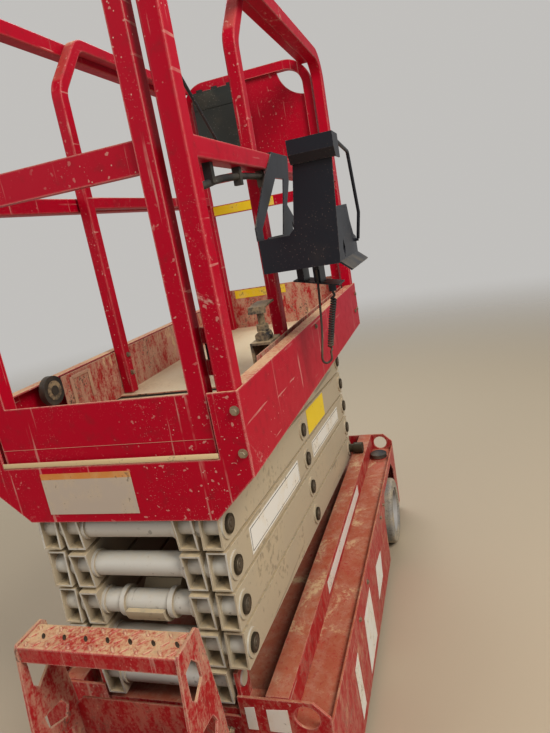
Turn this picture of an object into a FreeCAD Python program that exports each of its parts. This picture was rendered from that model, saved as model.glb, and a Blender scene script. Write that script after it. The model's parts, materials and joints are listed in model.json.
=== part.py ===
"""Compact electric scissor lift, stowed, for one operator.

The machine's own axes: X forward from the platform's rear plane, Y to the left of
the centre plane, Z up from the floor. Every sub-part is then set by one Placement,
so that the origin of the finished part is the floor point under the middle of its box.
"""
import FreeCAD
import Part
import Sketcher

import math
import os
import re

DOC = FreeCAD.newDocument("ScissorLift")
SHEET = DOC.addObject("Spreadsheet::Sheet", "Sizes")

# Driving dimensions in millimetres: name, value
SIZES = [
    # scissor stack
    ("arm_length", 1220.0),
    ("stow_pitch", 93.0),
    ("lift_top", 62.0),
    ("hinge_x", 22.0),
    ("tube_high", 84.0),
    ("tube_wide", 45.0),
    ("tube_wall", 4.5),
    ("tube_past", 32.0),
    ("inner_lane", 111.5),
    ("outer_lane", 168.5),
    ("sleeve_rad", 23.0),
    ("pin_rad", 16.5),
    ("pin_gap", 0.1),
    ("shaft_rad", 21.0),
    ("cross_rad", 26.0),
    ("boss_rad", 30.0),
    ("boss_thick", 4.0),
    ("head_rad", 20.0),
    ("head_thick", 5.0),
    ("head_gap", 0.3),
    ("washer_gap", 1.0),
    ("collar_rad", 33.0),
    ("collar_wide", 12.0),
    ("collar_place", 52.0),
    # lift cylinder
    ("barrel_rad", 42.0),
    ("barrel_bore", 34.0),
    ("rod_shows", 200.59),
    ("gland_long", 34.0),
    ("gland_rad", 46.0),
    ("rod_rad", 24.0),
    ("rod_gap", 0.3),
    ("rod_inside", 130.0),
    ("eye_rad", 38.0),
    ("eye_half", 38.0),
    ("hook_long", 62.0),
    ("hook_wall", 13.0),
    ("hook_gap", 1.0),
    # rollers
    ("roller_rad", 21.7),
    ("roller_wide", 36.0),
    ("roller_seat", 0.3),
    # chassis
    ("wall_y", 365.0),
    ("wall_thick", 5.0),
    ("wall_top", 300.0),
    ("wall_low", 30.0),
    ("pan_top", 285.0),
    ("pan_thick", 4.0),
    ("roller_run", 191.55),
    ("rail_in", 228.0),
    ("rail_wide", 52.0),
    ("rail_high", 70.0),
    ("rail_wall", 5.0),
    ("end_thick", 6.0),
    ("end_top", 352.0),
    ("end_notch_half", 164.0),
    ("end_notch_top", 300.0),
    ("lug_hole_y", 314.0),
    ("lug_hole_z", 314.0),
    ("lug_hole_rad", 27.5),
    ("lug_corner", 34.0),
    # wheels
    ("wheel_rad", 127.0),
    ("wheel_wide", 80.0),
    ("wheel_out", 381.0),
    ("axle_inset", 255.0),
    ("rear_inset", 200.0),
    ("rear_wheel_out", 350.0),
    ("hanger_y", 200.0),
    ("beam_low", 225.0),
    ("knuckle_low", 80.0),
    ("knuckle_top", 220.0),
    ("rim_rad", 88.0),
    ("hub_rad", 34.0),
    ("axle_rad", 15.0),
    ("kingpin_y", 250.0),
    ("kingpin_rad", 15.0),
    ("arch_half", 195.0),
    ("arch_top", 268.0),
    ("arch_bevel", 60.0),
    ("boss_inset", 95.0),
    ("ledge_boss", 31.0),
    ("ledge_high", 20.0),
    ("power_rear", 420.0),
    ("power_short", 680.0),
    ("power_half", 190.0),
    ("power_low", 70.0),
    # ladder
    ("ladder_rear", 212.0),
    ("ladder_lean", 20.0),
    ("ladder_high", 616.0),
    ("ladder_low", 110.0),
    ("ladder_half", 176.0),
    ("ladder_plate", 6.0),
    ("ladder_top_deep", 84.0),
    ("ladder_neck", 105.0),
    ("ladder_waist", 124.0),
    ("ladder_foot_z", 240.0),
    ("ladder_corner", 10.0),
    ("tread_deep", 68.0),
    ("tread_thick", 4.0),
    ("tread_lip", 34.0),
    ("tread_top", 612.0),
    ("tread_step", 294.0),
    ("back_top", 406.0),
    ("back_set", 122.0),
    # platform, heights over the deck
    ("deck_past", 141.55),
    ("deck_rise", 55.0),
    ("track_past", 50.0),
    ("track_short", 35.0),
    ("toe_high", 135.0),
    ("skirt_drop", 34.0),
    ("rail_over", 983.0),
    ("mid_over", 549.0),
    ("front_post_in", 40.0),
    ("rear_drop", 118.0),
    ("deck_half", 308.0),
    ("deck_thick", 4.0),
    ("sheet_thick", 4.0),
    ("flange_wide", 30.0),
    ("rear_plane", 20.0),
    ("rear_chamfer_y", 90.0),
    ("rear_chamfer_z", 86.0),
    ("post_wide", 38.0),
    ("bend_rad", 80.0),
    # gate
    ("gate_gap", 18.0),
    ("gate_lift", 7.0),
    ("gate_bar_over", 521.0),
    ("gate_bar_high", 54.0),
    ("gate_tube", 34.0),
    ("knuckle_rad", 7.0),
    ("knuckle_pin", 3.0),
    ("knuckle_long", 30.0),
    ("knuckle_gap", 0.3),
    ("hinge_low", 188.0),
    ("hinge_high", 853.0),
    # extension deck
    ("ext_gap", 4.0),
    ("kink_over", 839.0),
    ("ext_over", 991.0),
    ("ext_front_in", 20.0),
    ("ext_bend", 60.0),
    ("frame_bend", 80.0),
    ("front_bar_over", 613.0),
    ("front_bar_high", 30.0),
    ("low_bar_over", 488.0),
    ("low_bar_high", 40.0),
    ("front_bar_deep", 20.0),
    ("eye_past", 17.5),
    ("eye_round", 114.0),
    ("box_rear", 33.0),
    ("box_near", 25.0),
    ("box_far", 205.0),
    ("box_low_over", 713.0),
    ("box_high", 240.0),
    ("pad_side", 82.0),
    ("pad_wide", 50.0),
    ("pad_long", 60.0),
    ("pad_rear", 500.0),
    ("pad_front_in", 120.0),
    # foot lock
    ("pedal_x", 352.0),
    ("pedal_long", 88.0),
    ("pedal_base", 88.0),
    # control tray
    ("tray_past", 177.0),
    ("tray_thick", 3.0),
    ("tray_rear", 330.0),
    ("tray_long", 270.0),
    ("tray_over", 300.0),
    ("tray_wall", 76.0),
    ("tray_tuck", 23.0),
    ("tray_flare", 24.0),
    ("head_over", 546.0),
    ("hood_wide", 98.0),
    ("guard_rad", 4.0),
    ("cord_past", 77.0),
    ("cord_rad", 2.7),
    ("curl_rad", 8.2),
    ("stem_long", 14.0),
    ("stem_rad", 7.0),
    ("harness_rad", 7.0),
    ("harness_in", 23.0),
    ("harness_drop", 42.0),
    ("ext_start", 238.0),
    ("ext_sheet", 227.0),
    ("ext_deck_gap", 5.0),
    ("ext_tube", 32.0),
    ("ext_leg_x", 500.0),
    ("ext_lean", 120.0),
]
LEVELS = 5
# Sizes worked out from those of the sheet
DERIVED = {
    "slope": "asin(stow_pitch / arm_length)",
    "reach": "(arm_length * cos(slope))",
    "front_x": "(hinge_x + reach)",
    "cylinder_long": "sqrt(reach ^ 2 + (2 * stow_pitch) ^ 2)",
    "cylinder_slope": "atan(2 * stow_pitch / reach)",
    "barrel_end": "(cylinder_long - rod_shows)",
    "outer_face": "(outer_lane + tube_wide)",
    "inner_face": "(inner_lane + tube_wide)",
    "head_seat": "(outer_face + boss_thick + head_gap)",
    "cutter_half": "(outer_face + tube_high)",
    "track_rear": "(hinge_x + arm_length * cos(lift_top) - track_short)",
    "track_front": "(front_x + track_past)",
    "rail_top": "(pan_top + rail_high)",
    "hinge_z": "(rail_top + roller_rad + roller_seat)",
    "top_pin_z": f"(hinge_z + {LEVELS} * stow_pitch)",
    "base_long": "(front_x + roller_run)",
    "rear_axle_x": "rear_inset",
    "front_axle_x": "(base_long - axle_inset)",
    "deck_long": "(front_x + deck_past)",
    "deck_top": "(top_pin_z + deck_rise)",
    "deck_low": "(deck_top - deck_thick)",
    "skirt_top": "(deck_top + toe_high)",
    "skirt_low": "(deck_top - skirt_drop)",
    "rear_plate_low": "(deck_top - rear_drop)",
    "rail_z": "(deck_top + rail_over)",
    "mid_z": "(deck_top + mid_over)",
    "front_post_x": "(deck_long - front_post_in)",
    "post_out": "(deck_half - sheet_thick)",
    "post_in": "(post_out - post_wide)",
    "gate_half": "(post_in - gate_gap)",
    "gate_sill": "(deck_top + gate_lift)",
    "gate_mid_low": "(deck_top + gate_bar_over)",
    "gate_mid_top": "(gate_mid_low + gate_bar_high)",
    "ext_half": "(post_in - ext_gap)",
    "ext_kink_z": "(deck_top + kink_over)",
    "ext_top_z": "(deck_top + ext_over)",
    "ext_front_x": "(deck_long - ext_front_in)",
    "front_mid_z": "(deck_top + front_bar_over)",
    "pad_in": "(ext_half - pad_side)",
    "power_long": "(arm_length - power_short)",
    "tray_reach": "(post_out + tray_past)",
    "tray_in": "(post_out - tray_tuck)",
    "tray_out": "(tray_reach - tray_flare)",
    "cord_y": "(post_out + cord_past)",
    "harness_y": "(post_out - harness_in)",
}
VALUE = dict(SIZES)
for row, (alias, value) in enumerate(SIZES, start=1):
    SHEET.set(f"A{row}", alias)
    SHEET.set(f"B{row}", str(value))
    SHEET.setAlias(f"B{row}", alias)
DOC.recompute()

SIDES = (("left", 1), ("right", -1))
AXIS_TURN = {
    "x": FreeCAD.Rotation(FreeCAD.Vector(0, 1, 0), 90),
    "y": FreeCAD.Rotation(FreeCAD.Vector(1, 0, 0), -90),
    "z": FreeCAD.Rotation(),
}
# The part's box runs from the ladder's step to the front end plate, and from the
# control tray's hood on the right to the left wheels
DATUM_X = "(ladder_rear - base_long - end_thick) / 2"
DATUM_Y = "(tray_reach - wheel_out) / 2"
NODES = {}
PROBE = DOC.addObject("App::FeaturePython", "Probe")


def cell(text):
    """Spell out an expression's derived sizes, and write the sheet's name before each alias."""
    def spelled(found):
        name = found[0]
        if name in DERIVED:
            return cell(DERIVED[name])
        return f"Sizes.{name}" if name in VALUE else name
    return re.sub(r"[A-Za-z_]\w*", spelled, str(text))


def number(text):
    """The present value of an expression, in millimetres."""
    if isinstance(text, (int, float)):
        return float(text)
    found = PROBE.evalExpression(cell(text))
    return float(getattr(found, "Value", found))


def at(item, place):
    """Bind an object's place to three expressions."""
    for axis, text in zip("xyz", place):
        item.setExpression(f".Placement.Base.{axis}", cell(text))
    return item


def block(low, high):
    """Box between two corners."""
    item = DOC.addObject("Part::Box", "Block")
    for prop, start, end in zip(("Length", "Width", "Height"), low, high):
        item.setExpression(prop, cell(f"({end}) - ({start})"))
    return at(item, low)


def rod(axis, start, radius, length):
    """Round bar along one axis from its start point."""
    item = DOC.addObject("Part::Cylinder", "Rod")
    item.Placement = FreeCAD.Placement(FreeCAD.Vector(), AXIS_TURN[axis])
    item.setExpression("Radius", cell(radius))
    item.setExpression("Height", cell(length))
    return at(item, start)


def fuse(items):
    """One object of several that touch or stand apart."""
    if len(items) == 1:
        return items[0]
    item = DOC.addObject("Part::MultiFuse", "Joined")
    item.Shapes = items
    return item


def cut(body, tools):
    """Body less its tools."""
    item = DOC.addObject("Part::Cut", "Cut")
    item.Base = body
    item.Tool = fuse(tools)
    return item


def feature(shape):
    """A document object for a shape that neither sketches nor primitives fit."""
    item = DOC.addObject("Part::Feature", "Form")
    item.Shape = shape
    return item


def node(name, items, turn=None):
    """Name one sub-part and set its Placement; turn is its slope and its pin's place."""
    holder = fuse(items)
    if holder.TypeId != "Part::MultiFuse" and holder.TypeId != "Part::Cut":
        wrapped = DOC.addObject("Part::Compound", "Group")
        wrapped.Links = [holder]
        holder = wrapped
    if turn:
        slope, place = turn
        holder.Placement.Rotation = FreeCAD.Rotation(FreeCAD.Vector(0, 1, 0), 1)
        holder.setExpression(".Placement.Rotation.Angle", cell(slope))
    else:
        place = ("0", "0", "0")
    at(holder, (f"{place[0]} + {DATUM_X}", f"{place[1]} + {DATUM_Y}", place[2]))
    holder.Label = name
    NODES[name] = holder
    return holder


def plate(axis, start, thick, outline, holes=()):
    """Flat plate across an axis, padded from a sketch whose corners follow the sheet.

    outline holds (first, second) expressions on the two other axes; holes hold
    outlines, or (first, second, radius) for a round hole.
    """
    body = DOC.addObject("PartDesign::Body", "Plate")
    role = {"x": "YZ_Plane", "y": "XZ_Plane", "z": "XY_Plane"}[axis]
    plane = next(f for f in body.Origin.OriginFeatures if f.Role == role)
    sketch = body.newObject("Sketcher::SketchObject", "Outline")
    sketch.AttachmentSupport = [(plane, "")]
    sketch.MapMode = "FlatFace"
    loops = [outline] + [hole for hole in holes if len(hole) != 3 or isinstance(hole[0], tuple)]
    for loop in loops:
        first = sketch.GeometryCount
        points = [FreeCAD.Vector(number(a), number(b), 0) for a, b in loop]
        for index, point in enumerate(points):
            sketch.addGeometry(Part.LineSegment(point, points[(index + 1) % len(points)]), False)
        for index, corner in enumerate(loop):
            line = first + index
            after = first + (index + 1) % len(points)
            sketch.addConstraint(Sketcher.Constraint("Coincident", line, 2, after, 1))
            for kind, text in zip(("DistanceX", "DistanceY"), corner):
                here = sketch.addConstraint(
                    Sketcher.Constraint(kind, -1, 1, line, 1, number(text)))
                sketch.setExpression(f"Constraints[{here}]", cell(text))
    for hole in holes:
        if len(hole) == 3 and not isinstance(hole[0], tuple):
            centre = FreeCAD.Vector(number(hole[0]), number(hole[1]), 0)
            ring = sketch.addGeometry(
                Part.Circle(centre, FreeCAD.Vector(0, 0, 1), number(hole[2])), False)
            for kind, text in zip(("DistanceX", "DistanceY"), hole):
                here = sketch.addConstraint(
                    Sketcher.Constraint(kind, -1, 1, ring, 3, number(text)))
                sketch.setExpression(f"Constraints[{here}]", cell(text))
            here = sketch.addConstraint(Sketcher.Constraint("Radius", ring, number(hole[2])))
            sketch.setExpression(f"Constraints[{here}]", cell(hole[2]))
    pad = body.newObject("PartDesign::Pad", "Pad")
    pad.Profile = sketch
    pad.setExpression("Length", cell(thick))
    pad.Reversed = axis == "y"
    place = {"x": (start, "0", "0"), "y": ("0", start, "0"), "z": ("0", "0", start)}[axis]
    return at(body, place)


def turned(axis, place, profile, side=1):
    """Solid of revolution about an axis; profile holds (along, radius) expressions."""
    body = DOC.addObject("PartDesign::Body", "Turned")
    plane = next(f for f in body.Origin.OriginFeatures if f.Role == "XY_Plane")
    sketch = body.newObject("Sketcher::SketchObject", "Profile")
    sketch.AttachmentSupport = [(plane, "")]
    sketch.MapMode = "FlatFace"
    points = [FreeCAD.Vector(number(f"({b})"), side * number(a), 0) for a, b in profile]
    for index, point in enumerate(points):
        sketch.addGeometry(Part.LineSegment(point, points[(index + 1) % len(points)]), False)
    for index, corner in enumerate(profile):
        after = (index + 1) % len(points)
        sketch.addConstraint(Sketcher.Constraint("Coincident", index, 2, after, 1))
        for kind, text in (("DistanceX", corner[1]), ("DistanceY", f"{side} * ({corner[0]})")):
            here = sketch.addConstraint(Sketcher.Constraint(kind, -1, 1, index, 1, number(text)))
            sketch.setExpression(f"Constraints[{here}]", cell(text))
    spun = body.newObject("PartDesign::Revolution", "Revolution")
    spun.Profile = sketch
    spun.ReferenceAxis = (sketch, ["V_Axis"])
    spun.Angle = 360.0
    return at(body, place)


def bent_bar(points, width, depth, radius, flat):
    """Bar of rectangular section along a flat path whose corners are tangent arcs.

    flat is the plane's normal axis; depth is the size of the section along it.
    """
    corners = [FreeCAD.Vector(*point) for point in points]
    edges = tangent_path(corners, [radius] * len(corners))
    along = (corners[1] - corners[0]).normalize()
    normal = FreeCAD.Vector(*[1.0 if axis == flat else 0.0 for axis in "xyz"])
    across = along.cross(normal)
    ring = [corners[0] + across * (a * width / 2) + normal * (b * depth / 2)
            for a, b in ((-1, -1), (1, -1), (1, 1), (-1, 1), (-1, -1))]
    section = Part.makePolygon(ring)
    return Part.Wire(edges).makePipeShell([section], True, False)


def tangent_path(corners, radii):
    """Edges of straight runs joined by tangent arcs of the given radii."""
    edges = []
    start = corners[0]
    for before, corner, after, radius in zip(corners, corners[1:], corners[2:], radii):
        inward = (before - corner).normalize()
        outward = (after - corner).normalize()
        half = inward.getAngle(outward) / 2
        back = radius / math.tan(half)
        first = corner + inward * back
        last = corner + outward * back
        middle = corner + (inward + outward).normalize() * (radius / math.sin(half) - radius)
        if (first - start).Length > 0.01:
            edges.append(Part.LineSegment(start, first).toShape())
        edges.append(Part.Arc(first, middle, last).toShape())
        start = last
    edges.append(Part.LineSegment(start, corners[-1]).toShape())
    return edges


def cord_radii(corners):
    """Each arc is as large as its two runs allow: 0.45 of the shorter one."""
    radii = []
    for before, corner, after in zip(corners, corners[1:], corners[2:]):
        turn = math.pi - (before - corner).getAngle(after - corner)
        shorter = min((before - corner).Length, (after - corner).Length)
        radii.append(0.45 * shorter / math.tan(turn / 2))
    return radii


def route_of(points, radius=None):
    corners = [FreeCAD.Vector(*[number(text) for text in point]) for point in points]
    radii = [radius] * len(corners) if radius else cord_radii(corners)
    return corners, tangent_path(corners, radii), radii


def round_bar(points, thick, radius=None):
    """Round bar or cord along a route; without a radius its arcs are as large as they can be."""
    corners, edges, radii = route_of(points, radius)
    if not radius:
        print("arcs", [round(value) for value in radii])
    along = (corners[1] - corners[0]).normalize()
    ring = Part.Wire(Part.makeCircle(number(thick), corners[0], along))
    return Part.Wire(edges).makePipeShell([ring], True, False)


def tube_length(points):
    """Length of a cord's tube, in millimetres."""
    return sum(edge.Length for edge in route_of(points)[1])


def both(build):
    """Left and right copies of what build makes for a side of +1 or -1."""
    return [item for _, side in SIDES for item in build(side)]


def span(side, near, far):
    """Low and high Y of a piece between two distances from the centre plane."""
    return (near, far) if side > 0 else (f"-({far})", f"-({near})")


def across(side, x, near, far, radius, z="0"):
    """Round bar along Y between two distances from the centre plane."""
    low, _ = span(side, near, far)
    return rod("y", (x, low, z), radius, f"({far}) - ({near})")


def slab(side, low, high):
    """Box given by distances from the centre plane on one side."""
    near, far = span(side, low[1], high[1])
    return block((low[0], near, low[2]), (high[0], far, high[2]))




def index_z(index):
    """Height of the row of pins at one index when stowed."""
    return f"hinge_z + {index} * stow_pitch"


def box_tube(side, lane, rear, front):
    """Open-ended rectangular tube along an arm."""
    skin = slab(side, (rear, lane, "-tube_high / 2"), (front, f"{lane} + tube_wide", "tube_high / 2"))
    hollow = slab(side, (f"{rear} - 1", f"{lane} + tube_wall", "tube_wall - tube_high / 2"),
                  (f"{front} + 1", f"{lane} + tube_wide - tube_wall", "tube_high / 2 - tube_wall"))
    return cut(skin, [hollow])


def corner_cut(x, z, angle):
    """Block that takes off all beyond a line across an arm's end, turned by an angle."""
    item = DOC.addObject("Part::Box", "Corner")
    for prop, size in (("Length", "tube_high"), ("Width", "2 * cutter_half"),
                       ("Height", "2 * tube_high")):
        item.setExpression(prop, cell(size))
    item.Placement.Rotation = FreeCAD.Rotation(FreeCAD.Vector(0, 1, 0), angle)
    return at(item, (f"{x} - tube_high * sin({angle})", "-cutter_half",
                     f"{z} - tube_high * cos({angle})"))


def outer_arms(level):
    """Outer pair of one level: box tubes, sleeves for the pins and welded bosses."""
    places = ["0", "arm_length / 2", "arm_length"]
    rear_past = "tube_past" if level < LEVELS else "tube_past - 8"

    def pair(side):
        solid = [box_tube(side, "outer_lane", f"-({rear_past})", "arm_length + tube_past")]
        bores = []
        for x in places:
            solid.append(across(side, x, "outer_lane + 1", "outer_face - 1", "sleeve_rad"))
            solid.append(across(side, x, "outer_face - 1", "outer_face + boss_thick", "boss_rad"))
            bores.append(across(side, x, "outer_lane - 5", "outer_face + 15", "pin_rad + pin_gap"))
        if level == LEVELS:
            # the top rear corners clear the platform as the arm swings down
            bores.append(corner_cut("-24", "-20", 123.7))
            bores.append(corner_cut("-22", "34", 225))
        return [cut(fuse(solid), bores)]

    place = ("hinge_x", "0", index_z(level))
    return node(f"outer_arms_{level}", both(pair), turn=("slope", place))


def inner_arms(level):
    """Inner pair of one level with its cross tubes, pins and pin heads."""
    low_stack = level < 3

    def pair(side):
        solid = [box_tube(side, "inner_lane", "-tube_past", "arm_length + tube_past")]
        if level == LEVELS:
            solid = [cut(solid[0], [corner_cut("arm_length + 22", "34", -45)])]
        for name, x in (("rear", "0"), ("centre", "arm_length / 2"), ("front", "arm_length")):
            solid.append(across(side, x, "inner_lane - 8", "inner_face - 1", "shaft_rad"))
            solid.append(across(side, x, "inner_lane - 8", "inner_lane + 1", "cross_rad + 4"))
            if name == "rear" and level == 1:
                solid.append(across(side, x, "inner_face - 1", "inner_face + 22", "pin_rad"))
            elif name == "front" and level == LEVELS:
                solid.append(across(side, x, "inner_face - 1", "inner_face + 13", "pin_rad"))
            else:
                washer_end = "outer_lane - washer_gap"
                solid.append(across(side, x, "inner_face - 1", washer_end, "sleeve_rad + 4"))
                solid.append(across(side, x, "inner_face - 1", "head_seat + 1", "pin_rad"))
                head_end = "head_seat + head_thick"
                solid.append(across(side, x, "head_seat", head_end, "head_rad"))
        return solid

    items = both(pair)
    for name, x in (("rear", "0"), ("centre", "arm_length / 2"), ("front", "arm_length")):
        if not (name == "centre" and low_stack):
            items.append(rod("y", (x, "-inner_lane", "0"), "cross_rad", "2 * inner_lane"))
        if name == "rear" and level == 3:
            # collars beside the lift cylinder's eye
            for _, side in SIDES:
                far = "collar_place + collar_wide"
                items.append(across(side, x, "collar_place", far, "collar_rad"))
    place = ("hinge_x", "0", index_z(level - 1))
    return node(f"inner_arms_{level}", items, turn=("-1 * slope", place))


def roller_axle():
    """Cross shaft at the sliding lower end, which also carries the lift cylinder."""
    z = index_z(0)
    items = [rod("y", ("front_x", "-outer_lane", z), "head_rad", "2 * outer_lane")]
    for _, side in SIDES:
        near = "rail_in + 8"
        items.append(across(side, "front_x", "outer_lane - 1", f"{near} + 1", "pin_rad", z))
        items.append(across(side, "front_x", near, f"{near} + roller_wide", "roller_rad", z))
    return node("lower_roller_axle", items)


def upper_rollers():
    """Rollers at the sliding upper end, under the platform's tracks."""
    items = []
    for _, side in SIDES:
        near = "inner_face + 13.5"
        items.append(across(side, "front_x", near, f"{near} + roller_wide", "roller_rad", "top_pin_z"))
    return node("upper_rollers", items)


def lift_barrel():
    """Cylinder barrel with its gland and the ring that turns on the roller axle."""
    tube = cut(rod("x", ("-barrel_end", "0", "0"), "barrel_rad", "barrel_end - 24"),
               [rod("x", ("-barrel_end - 1", "0", "0"), "barrel_bore", "barrel_end - 60")])
    gland = cut(rod("x", ("-barrel_end - gland_long", "0", "0"), "gland_rad", "gland_long"),
                [rod("x", ("-barrel_end - gland_long - 1", "0", "0"), "rod_rad + rod_gap",
                     "gland_long + 2")])
    ring = rod("y", ("0", "-eye_half", "0"), "eye_rad", "2 * eye_half")
    bore = rod("y", ("0", "-eye_half - 10", "0"), "head_rad + pin_gap", "2 * eye_half + 20")
    item = cut(fuse([tube, gland, ring]), [bore])
    return node("lift_barrel", [item], turn=("cylinder_slope", ("front_x", "0", index_z(0))))


def lift_rod():
    """Piston rod whose open hook carries the cross tube of the third level."""
    length = "cylinder_long"
    bar = rod("x", (f"-({length}) + hook_long", "0", "0"), "rod_rad",
              f"{length} - hook_long - rod_inside")
    piston = rod("x", ("-rod_inside - 40", "0", "0"), "barrel_bore - rod_gap", "40")
    seat = number("cross_rad + hook_gap")
    wall = seat + VALUE["hook_wall"]
    centre = number(length)
    start = math.radians(-28)
    end = math.radians(-172)
    middle = (start + end) / 2

    def spot(radius, angle):
        return FreeCAD.Vector(radius * math.cos(angle) - centre, 0, radius * math.sin(angle))

    inner = Part.Arc(spot(seat, start), spot(seat, middle), spot(seat, end)).toShape()
    outer = Part.Arc(spot(wall, end), spot(wall, middle), spot(wall, math.radians(-70))).toShape()
    far = VALUE["hook_long"] + 10
    low = FreeCAD.Vector(far - centre, 0, -VALUE["rod_rad"])
    high = FreeCAD.Vector(far - centre, 0, VALUE["rod_rad"])
    lip = FreeCAD.Vector(56 - centre, 0, VALUE["rod_rad"])
    runs = [Part.LineSegment(a, b).toShape() for a, b in (
        (spot(seat, end), spot(wall, end)),
        (spot(wall, math.radians(-70)), low), (low, high), (high, lip),
        (lip, spot(seat, start)))]
    outline = Part.Wire(Part.__sortEdges__([inner, outer] + runs))
    half = VALUE["collar_place"] - 6
    face = Part.Face(outline)
    face.translate(FreeCAD.Vector(0, -half, 0))
    hook = feature(face.extrude(FreeCAD.Vector(0, 2 * half, 0)))
    return node("lift_rod", [bar, piston, hook], turn=("cylinder_slope", ("front_x", "0", index_z(0))))


def chassis():
    """Welded base: pan, roller rails, walls, end plates, hinge ears and power block."""
    pan = [block(("0", "-wall_y + wall_thick", "pan_top - pan_thick"),
                 ("base_long", "wall_y - wall_thick", "pan_top"))]
    for _, side in SIDES:
        place = ("base_long - boss_inset", f"{side} * (rail_in + rail_wide + ledge_boss + 5)",
                 "pan_top - 1")
        pan.append(rod("z", place, "ledge_boss", "ledge_high + 1"))
    node("chassis_pan", [fuse(pan)])

    def rails(side):
        far = "rail_in + rail_wide"
        skin = slab(side, ("0", "rail_in", "pan_top"), ("base_long", far, "rail_top"))
        hollow = slab(side, ("-1", "rail_in + rail_wall", "pan_top + rail_wall"),
                      ("base_long + 1", f"{far} - rail_wall", "rail_top - rail_wall"))
        return [cut(skin, [hollow])]

    node("roller_rails", both(rails))
    front = "front_axle_x"
    # only the steered wheels have an arch: the wall covers the rear ones
    outline = [("0", "wall_low"), ("0", "wall_top"), ("base_long", "wall_top"),
               ("base_long", "wall_low"),
               (f"{front} + arch_half", "wall_low"),
               (f"{front} + arch_half", "arch_top - arch_bevel"),
               (f"{front} + arch_half - arch_bevel", "arch_top"),
               (f"{front} - arch_half + arch_bevel", "arch_top"),
               (f"{front} - arch_half", "arch_top - arch_bevel"),
               (f"{front} - arch_half", "wall_low")]
    for name, side in SIDES:
        start = "wall_y - wall_thick" if side > 0 else "-wall_y"
        node(f"side_wall_{name}", [plate("y", start, "wall_thick", outline)])
    lugs = [("lug_hole_y", "lug_hole_z", "lug_hole_rad"),
            ("-lug_hole_y", "lug_hole_z", "lug_hole_rad")]
    corner = "lug_corner"
    front_outline = [("-wall_y", "wall_low"), ("wall_y", "wall_low"),
                     ("wall_y", f"end_top - {corner}"), (f"wall_y - {corner}", "end_top"),
                     (f"-wall_y + {corner}", "end_top"), ("-wall_y", f"end_top - {corner}")]
    notch = [("end_notch_half", "end_top"), ("end_notch_half", "end_notch_top"),
             ("-end_notch_half", "end_notch_top"), ("-end_notch_half", "end_top")]
    rear_outline = front_outline[:4] + notch + front_outline[4:]
    node("end_plate_rear", [plate("x", "-end_thick", "end_thick", rear_outline, lugs)])
    node("end_plate_front", [plate("x", "base_long", "end_thick", front_outline, lugs)])

    beam = block(("0", "-rail_in", "pan_top"), ("hinge_x + 33", "rail_in", "pan_top + 31"))
    ears = []
    for _, side in SIDES:
        near = "inner_face + 8"
        ear = slab(side, ("hinge_x - 22", near, "pan_top + 30"),
                   ("hinge_x + 30", f"{near} + 10", "hinge_z + 30"))
        hole = across(side, "hinge_x", f"{near} - 5", f"{near} + 15", "pin_rad + pin_gap", "hinge_z")
        ears.append(cut(ear, [hole]))
    node("base_hinge", [beam] + ears)
    node("power_block", [block(("power_rear", "-power_half", "power_low"),
                               ("power_rear + power_long", "power_half", "pan_top - pan_thick"))])


def ladder():
    """Entry ladder: two side plates cut out as trusses, two folded treads and a back panel."""
    outline = [("-ladder_rear", "ladder_low"), ("-ladder_rear", "ladder_high - 176"),
               ("-ladder_rear + ladder_lean", "ladder_high - ladder_corner"),
               ("-ladder_rear + ladder_lean + ladder_corner / 2", "ladder_high"),
               ("-ladder_neck - ladder_corner", "ladder_high"),
               ("-ladder_neck", "ladder_high - ladder_corner"),
               ("-ladder_rear + ladder_waist", "back_top + 25"),
               ("-ladder_rear + ladder_waist + 6", "tread_top - tread_step"),
               ("-end_thick", "ladder_foot_z"), ("-end_thick", "ladder_low")]
    rim = "-ladder_rear + 34"
    high = "ladder_high"
    holes = [[(rim, f"{high} - 44"), (f"{rim} + 26", f"{high} - 38"), (f"{rim} + 45", f"{high} - 62"),
              (f"{rim} + 47", f"{high} - 94"), (f"{rim} + 12", f"{high} - 116"),
              (f"{rim} - 1", f"{high} - 101")],
             [(rim, f"{high} - 180"), (f"{rim} + 52", f"{high} - 186"), (f"{rim} + 64", f"{high} - 212"),
              (f"{rim} + 52", f"{high} - 232"), (f"{rim} + 4", f"{high} - 212")],
             [(rim, f"{high} - 250"), (f"{rim} + 58", f"{high} - 264"), (f"{rim} + 64", f"{high} - 426"),
              (rim, f"{high} - 436")]]
    sides = []
    for _, side in SIDES:
        start = "ladder_half - ladder_plate" if side > 0 else "-ladder_half"
        sides.append(plate("y", start, "ladder_plate", outline, holes))
    node("ladder_sides", sides)
    inner = "(ladder_half - ladder_plate)"
    treads = []
    for top in ("tread_top", "(tread_top - tread_step)"):
        rear = "(-ladder_rear + ladder_lean + 2)" if top == "tread_top" else "(-ladder_rear + 4)"
        end = f"({rear} + tread_deep)"
        fold = [(rear, f"{top} - tread_lip"), (f"{rear} + tread_thick", f"{top} - tread_lip"),
                (f"{rear} + tread_thick", f"{top} - tread_thick"),
                (f"{end} - tread_thick", f"{top} - tread_thick"),
                (f"{end} - tread_thick", f"{top} - tread_lip"), (end, f"{top} - tread_lip"),
                (end, f"{top} - 2"), (f"{end} - 2", top), (f"{rear} + 2", top),
                (rear, f"{top} - 2")]
        treads.append(plate("y", f"-{inner}", f"2 * {inner}", fold))
    node("ladder_treads", treads)
    face = "(-ladder_rear + back_set)"
    edge = f"({inner} - 22)"
    back = [plate("x", f"{face} - tread_thick", "tread_thick", [
        (f"-{inner}", "ladder_low"), (inner, "ladder_low"), (inner, "back_top - 22"),
        (edge, "back_top"), (f"-{edge}", "back_top"), (f"-{inner}", "back_top - 22")])]
    # upright flanges that bolt the panel to the side plates
    for _, side in SIDES:
        back.append(slab(side, (face, f"{inner} - 4", "ladder_low"),
                         (f"{face} + 24", inner, "tread_top - tread_step - 40")))
    node("ladder_back", [fuse(back)])


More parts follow.
